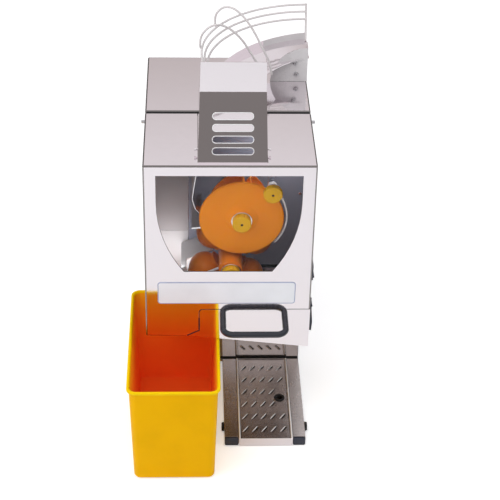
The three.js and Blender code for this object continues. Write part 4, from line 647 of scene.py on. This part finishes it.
bin_foot_line, bin_foot_inset = rounded([(0, 0), (7.5, 0), (9, 3.4), (0, 3.4)], 1), 23.5 * millimetre
bin_shell = new_piece("peel_bin_shell", [
    patch(bin_skin(bin_outside), caps=(True, False)),
    patch(bin_skin(bin_inside), caps=(False, True)),
    *[turned(bin_foot_line * millimetre, (x, y, 0), (0, 0, 1), 32)
      for x in (bin_low.x + bin_foot_inset, bin_high.x - bin_foot_inset)
      for y in (bin_low.y + bin_foot_inset, bin_high.y - bin_foot_inset)],
], "peel_bin", bin_plastic, ["peel_bin"], 30)
bin_middle = box_mm("peel_bin").mean(0)
bin_floor_height, bin_lit_rim_height = 20, 7
# The inward faces and the floor take the painted deep orange and its glow.
repaint(bin_shell, bin_shaded_inside, lambda at_mm, facing: (((at_mm - bin_middle) * facing)[:, :2].sum(1) < 0)
        | ((facing[:, 2] > 0.5) & (at_mm[:, 2] < bin_floor_height)))
# Painted light: the faces near the top take the lighter rim yellow.
repaint(bin_shell, bin_lit_rim, lambda at_mm, facing: at_mm[:, 2] > bin_top - bin_lit_rim_height)

# Press. Food-grade mouldings on two geared shafts: an upper drum of cups under a round front disc, a
# lower drum of ribbed balls, golden hand knobs with chromed washers, and a bent guard on a stud.
disc_orange, cup_shaded_orange = (1.0, 0.31, 0.012, 1), (0.8, 0.22, 0.01, 1)
knob_gold, socket_shade_brown = (0.75, 0.42, 0.012, 1), (0.05, 0.012, 0.006, 1)
plate_grey = (0.36, 0.385, 0.49, 1)
disc_plastic = plastic("disc_plastic", disc_orange, 0.38, 0.08, 0.1, 2 * millimetre, 0.12)
# The cup and ball drums are a darker copy of the disc's orange: painted shade, for they lie in shade behind
# the disc.
cup_shaded_plastic = plastic("cup_shaded_plastic", cup_shaded_orange, 0.3, 0.06, 0.08, 3 * millimetre, 0.25)
# Painted shade for the hex recess in each knob's front.
socket_shade_plastic = plastic("socket_shade_plastic", socket_shade_brown, 0.4, 0.1, 0.1)
knob_plastic = plastic("knob_plastic", knob_gold, 0.36, 0.1, 0.12, 1 * millimetre, 0.15)


def axis_of(node):
    """Where the axis of a turned CAD node meets the housing's front plane, from its box."""
    low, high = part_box(node)
    return np.array([(low.x + high.x) / 2, corner[1], (low.z + high.z) / 2])


upper_axis, lower_axis = axis_of("upper_shaft"), axis_of("lower_shaft")
shaft_way = (0, 1, 0)
shaft_bore = 6.3
disc_low, disc_high = box_mm("drum_disc")
disc_radius, boss_height, disc_bevel = (disc_high[0] - disc_low[0]) / 2, 5.0, 1.8
boss_front, disc_front, disc_back = disc_low[1], disc_low[1] + boss_height, disc_high[1]
disc_line = [
    (shaft_bore, boss_front + 1), (shaft_bore, boss_front), (19, boss_front), (22.5, boss_front + 2.2),
    (29, disc_front), (60, disc_front), (disc_radius - disc_bevel, disc_front),
    (disc_radius, disc_front + 1.6), (disc_radius, disc_back), (shaft_bore, disc_back),
    (shaft_bore, boss_front + 1),
]
new_piece("drum_disc_face", [turned(rounded(disc_line, 1.6) * millimetre, upper_axis, shaft_way, 128)],
          "upper_rotor", disc_plastic, ["drum_disc"])
knob_flutes, flute_depth, flute_start, flute_fade, socket_radius = 10, 1.0, 15.2, 1.6, 2.2


def knob_skin(front, axis, radius=17.0, length=11.0, sides=160):
    """Turned knob whose side has shallow flutes: the radius dips by a power of a cosine."""
    line = rounded([(0, 3), (socket_radius, 3), (socket_radius, 0), (12.5, 0), (13.1, 0.5), (13.7, 0),
                    (15.6, 0), (radius, 1.4), (radius, length - 0.8), (radius - 0.8, length),
                    (shaft_bore, length), (shaft_bore, length - 5), (0, length - 5)], 0.7, 4)
    angle = np.linspace(0, 2 * np.pi, sides, endpoint=False)
    dip = flute_depth * ((1 + np.cos(knob_flutes * angle)) / 2) ** 6
    r = line[:, None, 0] - dip[None] * np.clip((line[:, None, 0] - flute_start) / flute_fade, 0, 1)
    y = np.broadcast_to(line[:, None, 1] + front, r.shape)
    points = np.stack([r * np.cos(angle), y, r * np.sin(angle)], -1) * millimetre
    return patch(points + axis)


for node in ("upper_knob", "lower_knob", "guard_knob"):
    skin = knob_skin(box_mm(node)[0][1], axis_of(node))
    grip = new_piece(node + "_grip", [skin], node, knob_plastic, [node])
    middle = box_mm(node).mean(0)
    # Painted shade: the faces of the recess take the dark brown.
    repaint(grip, socket_shade_plastic, lambda at_mm, facing: np.hypot(at_mm[:, 0] - middle[0],
            at_mm[:, 2] - middle[2]) < socket_radius + 0.2)
for node, body in (("upper_washer", "upper_rotor"), ("lower_washer", "lower_rotor")):
    (left, front, _), (right, back, _) = box_mm(node)
    wide = (right - left) / 2
    washer_line = [(shaft_bore, front + 1), (shaft_bore, front), (wide, front), (wide, back),
                   (shaft_bore, back), (shaft_bore, front + 1)]
    new_piece(node + "_ring", [turned(rounded(washer_line, 1.2) * millimetre, axis_of(node), shaft_way, 72)],
              body, bright_steel, [node])

cup_radius, cup_wall, cup_reach, cup_rim = 34.0, 3.0, 50.0, 45.0
cup_middle, cup_count = 92.0, 4
hub_bore, hub_neck, hub_back = 9.3, 20, 134
ball_radius, ball_reach = 30.0, 57.5
stem_root, stem_taper = 22, 9
rib_count, rib_height, rib_floor, rib_share, rib_run = 6, 2.2, 0.9, 0.6, 8
toward_lower = math.degrees(math.atan2(lower_axis[2] - upper_axis[2], lower_axis[0] - upper_axis[0]))


def cup_skin(angle, steps=26, sides=72):
    """One cup turned about its own axis: its line runs up the outer sphere, over a rounded rim and
    down the inner sphere."""
    outer = cup_radius + cup_wall
    drop = cup_reach - cup_rim
    outside = np.linspace(np.pi / 2, math.asin(drop / outer), steps)
    inside = np.linspace(math.asin(drop / cup_radius), np.pi / 2, steps)
    rim_radius = (math.sqrt(outer ** 2 - drop ** 2) + math.sqrt(cup_radius ** 2 - drop ** 2)) / 2
    radius = np.concatenate([outer * np.cos(outside), [rim_radius], cup_radius * np.cos(inside)])
    along = np.concatenate([-outer * np.sin(outside), [-drop + 0.5], -cup_radius * np.sin(inside)])
    out = np.array([math.cos(math.radians(angle)), 0, math.sin(math.radians(angle))])
    centre = upper_axis + (out * cup_reach + [0, cup_middle, 0]) * millimetre
    return turned(np.stack([radius, along], -1) * millimetre, centre, out, sides)


drum_core = [(hub_bore, 49.6), (hub_neck, 49.6), (hub_neck, 60), (32, 60), (32, 124), (hub_neck, 124),
             (hub_neck, hub_back), (hub_bore, hub_back), (hub_bore, 49.6)]
new_piece("cup_drum_moulding", [
    *[cup_skin(toward_lower + 45 + 360 / cup_count * i) for i in range(cup_count)],
    turned(rounded(drum_core, 1.5) * millimetre, upper_axis, shaft_way, 72),
], "upper_rotor", cup_shaded_plastic, ["cup_drum"], 50)


def ball_skin(angle, steps=40, sides=96):
    """One ball on its stem: the radius follows the stem, a fillet and the sphere, and six low ribs
    run over the sphere to its pole."""
    out = np.array([math.cos(math.radians(angle)), 0, math.sin(math.radians(angle))])
    side = np.array([0.0, 1.0, 0.0])
    third = np.cross(out, side)
    along = ball_reach - ball_radius * np.cos(np.linspace(0, np.pi, steps))
    sphere = np.sqrt(np.clip(ball_radius ** 2 - (along - ball_reach) ** 2, 0, None))
    stem = stem_root - stem_taper * np.clip(along / ball_reach, 0, 1)
    blend = np.maximum(sphere, np.where(along < ball_reach, stem, 0))
    turn = np.linspace(0, 2 * np.pi, sides, endpoint=False)
    rib = np.clip(np.cos(rib_count * turn), rib_share, 1)[None] - rib_share
    fade = np.clip((along - ball_reach + rib_run) / (2 * rib_run), 0, 1)[:, None]
    fade = fade * (sphere / ball_radius)[:, None]
    radius = blend[:, None] + rib_height * rib * fade - rib_floor * fade
    points = (radius[..., None] * (np.cos(turn)[:, None] * side + np.sin(turn)[:, None] * third)[None]
              + along[:, None, None] * out + [0, cup_middle, 0]) * millimetre + lower_axis
    return patch(points, caps=(True, True))


ball_core = [(hub_bore, 31.3), (stem_root, 31.3), (stem_root, hub_back), (hub_bore, hub_back),
             (hub_bore, 31.3)]
new_piece("ball_drum_moulding", [
    *[ball_skin(toward_lower + 225 + 360 / cup_count * i) for i in range(cup_count)],
    turned(rounded(ball_core, 1.5) * millimetre, lower_axis, shaft_way, 72),
], "lower_rotor", cup_shaded_plastic, ["ball_drum"], 50)

dress("press_backplate", plastic("plate_paint", plate_grey, 0.4, 0.1, 0.1), 0.8 * millimetre)
shaft_grey, cast_grey, motor_black = (0.6, 0.6, 0.62, 1), (0.5, 0.5, 0.51, 1), (0.045, 0.05, 0.06, 1)
shaft_steel = steel("shaft_steel", shaft_grey, 0.28, (60, 900, 60), 0.15, 0.05)
cast_metal = steel("cast_metal", cast_grey, 0.55, (300, 300, 300), 0.2, 0.1, 0.3)
for node in ("upper_shaft", "lower_shaft", "guard_post", "cover_pin_left", "cover_pin_right",
             "upper_gear", "lower_gear", "drive_pinion"):
    dress(node, shaft_steel, 0.3 * millimetre, 2, 40)
for node in ("upper_bearing", "lower_bearing", "gear_plate", "gearbox"):
    dress(node, cast_metal, 0.5 * millimetre, 2, 40)
dress("drive_motor", plastic("motor_paint", motor_black, 0.4, 0.2, 0.3), 0.4 * millimetre, 2, 40)
guard_tint, pale_tint = (0.85, 0.84, 0.85, 1), (0.84, 0.85, 0.87, 1)
guard_paint = plastic("guard_paint", guard_tint, 0.14, 0.03, 0.02, gloss=1.0)
pale_plastic = plastic("pale_plastic", pale_tint, 0.35, 0.15, 0.15)
dress("orange_guard", guard_paint, 0.5 * millimetre)
dress("feed_guide", bright_steel, 0.3 * millimetre)
dress("knife", bright_steel, 0.2 * millimetre)
dress("peel_chute", satin_steel, 0.3 * millimetre)
dress("peel_stripper", pale_plastic, 0.6 * millimetre)
dress("cover_sensor", pale_plastic, 1.0 * millimetre, 3)
# The pale liner over the left chamber wall is two sheets of one plastic: grey above as painted shade under
# the roof, white below as painted light from below.
liner_shaded_grey, liner_lit_white = (0.6, 0.59, 0.61, 1), (0.82, 0.82, 0.84, 1)
liner_left, liner_right, liner_foot, liner_split, liner_top = 2, 77, 230, 332, 582
for name, tint, roughness, thick, low, high in (
    ("chamber_liner", liner_shaded_grey, 0.35, 1.4, liner_split, liner_top),
    ("chamber_liner_foot", liner_lit_white, 0.3, 1.6, liner_foot, liner_split - 0.3),
):
    liner_paint = plastic(name + "_paint", tint, roughness, 0.05, 0.05, gloss=0.3)
    sheet = pillow_box(at(liner_left, wall_face - thick, low), at(liner_right, wall_face - 0.2, high),
                       0.3 * millimetre)
    new_piece(name, [sheet], "housing", liner_paint)

# Front cover. A polished folded cover with a window; a clear acrylic pane is bonded behind it, and a
# bare white plate sits in a shallow place under the window.
dress("front_cover", mirror_steel, thin_edge, bend=fold_radius)
clear, tree = new_material("clear_acrylic")
pane_tint = (0.62, 0.66, 0.72, 1)
pane = shader(tree, "BsdfPrincipled", Base_Color=pane_tint, Roughness=0.03, Specular_IOR_Level=0.06,
              Alpha=0.015)
shader(tree, "OutputMaterial", Surface=pane.outputs[0])
dress("window_pane", clear)
window_middle, window_half, window_top = 149, 127, 571
window_straight, window_foot, window_bottom = 515, 79, 370
window_step, window_drop = window_half - window_foot, window_straight - window_bottom
window_arc = (window_step ** 2 + window_drop ** 2) / (2 * window_step)
swing = np.linspace(0, math.asin(window_drop / window_arc), 40)
window_side = np.stack([window_half - window_arc * (1 - np.cos(swing)),
                        window_straight - window_arc * np.sin(swing)], -1)
half_outline = np.concatenate([[[0, window_top], [window_half, window_top]], window_side,
                               [[0, window_bottom]]])
outline = np.concatenate([half_outline, half_outline[-2:0:-1] * [-1, 1], [[-0.5, window_top]]])
outline = outline + [window_middle, 0]


def on_front(places, depth):
    """Places on the cover's face from x and z in mm, all at one depth behind it."""
    return corner + np.insert(places, 1, depth, axis=1) * millimetre


# A thin black bead round the window stands where there is only the shade of the sheet's cut edge: a painted
# shade line.
new_piece("window_shade_bead", [tube(on_front(outline, 1.0), 0.6 * millimetre, 10)], "cover", soft_rubber)
# A black line down the cover's edge stands in the gap where there is only shade: a painted shade line,
# thicker below the step.
gap_line_right, gap_line_height, gap_line_side, gap_line_bend = 299, 285.5, 97.5, 7.5
gap_line_thin, gap_line_thick, gap_line_step = 0.95, 1.5, 266.5
gap_line_turn = np.radians(np.linspace(0, 90, 9))
gap_line_corner = np.stack([gap_line_side + gap_line_bend * (1 - np.sin(gap_line_turn)),
                        gap_line_height - gap_line_bend * (1 - np.cos(gap_line_turn))], -1)
gap_line_places = np.concatenate([
    [[gap_line_right, gap_line_height]], gap_line_corner,
    [[gap_line_side, z] for z in (gap_line_step + 0.5, gap_line_step - 0.5, 250, 237.4)], [[86, 231.2], [75.5, 225.6]],
])
gap_line_radius = np.where(gap_line_places[:, 1] > gap_line_step, gap_line_thin, gap_line_thick)
new_piece("cover_step_shade_line", [tube(on_front(gap_line_places, 0.75), gap_line_radius * millimetre, 12)],
          "cover", soft_rubber)
plate_left, plate_right, plate_foot, plate_head = 22.5, 271.5, 299.0, 347.0
plate_corner, plate_proud = 6.0, 0.8
plate_steps = [(0, -0.2), (0, 0.45), (0.12, 0.7), (0.4, plate_proud), (1.8, plate_proud)]  # inset, proud
plate_white, plate_edge_shade_blue = (0.93, 0.95, 1.0, 1), (0.42, 0.46, 0.62, 1)
plate_gloss = plastic("plate_gloss", plate_white, 0.2, 0.03, 0.03)
# The plate's edges are a dark blue-grey: painted shade along its outline.
plate_shaded_edge = plastic("plate_shaded_edge", plate_edge_shade_blue, 0.2, 0.03, 0.03)


def plate_row(inset, proud):
    """A rounded rectangle in the plane of the panel, drawn in by the inset, that far proud of it."""
    ring = rounded_ring(plate_left + inset, plate_right - inset, plate_foot + inset, plate_head - inset,
                        plate_corner - inset, 0.0)
    return on_front(ring[:, :2], -proud)


plate_rows = np.array([plate_row(*step) for step in plate_steps])
front_plate = new_piece("front_plate", [patch(plate_rows, caps=(True, True))], "cover",
                        plate_shaded_edge)
repaint(front_plate, plate_gloss, lambda at_mm, facing: (at_mm[:, 1] < 0.01 - plate_proud)
        & (np.abs(at_mm[:, 0] - (plate_left + plate_right) / 2) < 1)
        & (np.abs(at_mm[:, 2] - (plate_foot + plate_head) / 2) < 1))

# Tank drawer. The polished front carries a black moulded D handle; the tank behind it is satin inside
# and holds a lift-out strainer.
dress("tank_front", mirror_steel, 0.6 * millimetre)
dress("juice_tank", satin_steel, 0.6 * millimetre)
dress("pulp_strainer", satin_steel, 0.3 * millimetre)
handle_black = (0.02, 0.023, 0.032, 1)
handle_plastic = plastic("handle_plastic", handle_black, 0.12, 0.05, 0.03, gloss=0.6)
handle_low, handle_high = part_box("tank_handle")
handle_z = (handle_low.z + handle_high.z) / 2
rod, bend_radius, bend_steps = 5.8 * millimetre, 17 * millimetre, 14
left_leg, right_leg = handle_low.x + rod, handle_high.x - rod
bar_y, back_y = handle_low.y + rod, handle_high.y
turn = np.linspace(0, np.pi / 2, bend_steps)
left_bend = np.stack([left_leg + bend_radius * (1 - np.cos(turn)), bar_y + bend_radius * (1 - np.sin(turn)),
                      np.full(bend_steps, handle_z)], -1)
right_bend = left_bend[::-1] * [-1, 1, 1] + [left_leg + right_leg, 0, 0]
handle_line = np.concatenate([[[left_leg, back_y, handle_z]], left_bend, right_bend,
                              [[right_leg, back_y, handle_z]]])
new_piece("tank_handle_grip", [tube(handle_line, rod, 28)], "tank", handle_plastic,
          ["tank_handle"], 50)

# Switch and latch. Black moulded plastic on the right chamber wall: the mains rocker in its bezel and
# the latch on its base. The gland for the mains lead is the same plastic, screwed into the back.
for node, edge in (("switch_bezel", 0.6), ("latch_base", 0.6), ("power_rocker", 0.7), ("latch_lever", 0.7)):
    dress(node, cap_plastic, edge * millimetre, 3)
dress("cable_gland", cap_plastic, 0.5 * millimetre)

# Hopper. Folded polished sheet that leans back over the chamber; four rounded slots lighten its face
# and two thumb screws hold it. Thin pale rolls round the slots are a painted highlight on their edges.
dress("hopper", mirror_steel, 0.5 * millimetre, 2, 7)
hopper_low, hopper_high = box_mm("hopper")
hopper_middle = (hopper_low[0] + hopper_high[0]) / 2
face_front, face_back, face_foot, face_head = hopper_low[1], 61, hopper_low[2], 701
face_narrowing = 0.0715
slot_fall = math.atan2(face_back - face_front, face_head - face_foot)
slot_starts, slot_half, slot_height, slot_corner = (16, 36, 56, 76), 36, 12, 5.9
slot_highlights = []
for start in slot_starts:
    ring = rounded_ring(-slot_half, slot_half, start, start + slot_height, slot_corner, 0.0)
    ring = np.concatenate([ring, ring[:2]])
    z = face_foot + ring[:, 1] * math.cos(slot_fall)
    x = hopper_middle + ring[:, 0] * (1 - face_narrowing * (z - housing_top) / (hopper_high[2] - housing_top))
    y = face_front + ring[:, 1] * math.sin(slot_fall)
    slot_highlights.append(tube(corner + np.stack([x, y, z], -1) * millimetre, 0.75 * millimetre, 10))
# Painted highlight: a thin pale roll runs round each slot.
new_piece("hopper_slot_highlights", slot_highlights, "housing", lip_highlight_paint, sharp=50)

# Feed ramp. A quarter-turn track of bent polished sheet stands on a round-backed fin. Button head
# screws hold it, and the same screws fix the plate behind the drums and the cabinet's back.
ramp_piece = dress("feed_ramp", mirror_steel, 0.4 * millimetre)
fin_tint = (0.72, 0.7, 0.71, 1)
fin_paint = plastic("fin_paint", fin_tint, 0.25, 0.05, 0.03, gloss=1.0)
fin_front = 300
repaint(ramp_piece, fin_paint, lambda at_mm, facing: (np.abs(facing[:, 1]) > 0.9) & (at_mm[:, 1] > fin_front))


def button_screw(place, way, radius):
    """A button head screw: a low dome with a round recess, turned about the way it faces."""
    line = rounded([(0, 0.4), (0.4, 0.4), (0.4, 0.9), (0.8, 0.7), (1, 0.2), (1, -0.1), (0, -0.1)], 0.1)
    return turned(line * radius * millimetre, place, way, 28)


fin_face, plate_face = 303.8, box_mm("press_backplate")[0][1]
fin_places = [at(276.2, fin_face, 629.7), at(279.5, fin_face, 607)]
plate_places = [at(x, plate_face, z) for x in (86, 287) for z in (262, 419, 576)]
back_low, back_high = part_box("back_panel")
back_middle, screw_inset = (back_low + back_high) / 2, 8 * millimetre
back_places = [(x, back_high.y, z)
               for x in (back_low.x + screw_inset, back_middle.x, back_high.x - screw_inset)
               for z in (back_low.z + screw_inset, back_middle.z, back_high.z - screw_inset)]
del back_places[4]  # there is none in the middle
for name, places, way, radius, metal in (
    ("ramp_screws", fin_places, (0, -1, 0), 4.6, shaft_steel),
    ("backplate_screws", plate_places, (0, -1, 0), 3.5, bright_steel),
    ("back_screws", back_places, (0, 1, 0), 3.0, bright_steel),
):
    new_piece(name, [button_screw(place, way, radius) for place in places], "housing", metal)

# Wire guard. Bright drawn rods, bent and welded: three fence wires round the outside of the bend, two
# hoops over it, a post at the right end and a tie at the left.
bend_centre = at(302, 200, 0)[:2]
fence_rows = [(200.0, 703.0), (195.0, 691.0), (190.0, 678.0)]  # radius, height
post_rows = [(174, 640.9), (190, 678), (195, 691), (200, 705)]
fence_tail, tail_drop = at(103, 150, 0)[:2], 8
tie_foot, tie_head, tie_steps = 646, 697, 8
wire_radius = 2.0 * millimetre
wire_tint = (0.73, 0.69, 0.69, 1)
wire_paint = plastic("wire_lacquer", wire_tint, 0.16, 0.03, 0.02, gloss=1.0)


def on_bend(radius, angle, z):
    """A place on the feed bend: radius in mm, angle in degrees, height in mm."""
    angle = np.radians(np.asarray(angle, float))
    return np.stack([bend_centre[0] + radius * millimetre * np.cos(angle),
                     bend_centre[1] + radius * millimetre * np.sin(angle),
                     np.broadcast_to(z * millimetre, angle.shape)], -1)


wires = []
for radius, height in fence_rows:
    bend_points = on_bend(radius, np.linspace(90, 180, 17), height)
    tail = np.array([[*fence_tail, (height - tail_drop) * millimetre]])
    wires.append(tube(smooth_path(np.concatenate([bend_points, tail]), 120), wire_radius))
post = np.array([on_bend(radius, 90.0, height) for radius, height in post_rows])
wires.append(tube(smooth_path(post - [wire_radius, 0, 0], 30), wire_radius))
tie_place = [fence_tail[0], fence_tail[1] + wire_radius]
tie = np.linspace([*tie_place, tie_foot * millimetre], [*tie_place, tie_head * millimetre], tie_steps)
hair_bow = 1e-6 * np.arange(tie_steps) ** 2  # gives the straight tie a plane of its own
wires.append(tube(tie + hair_bow[:, None] * [1, 0, 0], wire_radius))
hoop_shares = [  # share of the way over, share of the rise or, below 0, of half the fall
    (-0.03, 0.2), (0.0, 0.62), (0.13, 0.93), (0.3, 0.93), (0.48, 0.62), (0.65, 0.1), (0.82, -0.7),
    (0.94, -1.3), (0.98, -1.7),
]
hoop_rise, hoop_reach, hoop_sink = 45 * millimetre, 100, 4
floor_start, floor_fall, floor_turn = 640, 28, 93
for start_angle, end_angle in ((176.0, 150.0), (149.5, 135.0)):
    first = on_bend(fence_rows[0][0], start_angle, fence_rows[0][1])
    floor_height = floor_start - floor_fall * (end_angle - 90) / floor_turn
    last = on_bend(hoop_reach, end_angle, floor_height - hoop_sink)
    fall = first[2] - last[2]
    line = [first]
    for along, up in hoop_shares:
        point = first + (last - first) * along
        point[2] = first[2] + up * (fall / 2 if up < 0 else hoop_rise)
        line.append(point)
    wires.append(tube(smooth_path(np.array([*line, last]), 90), wire_radius))
new_piece("wire_guard_rods", wires, "housing", wire_paint, ["wire_guard"], 60)
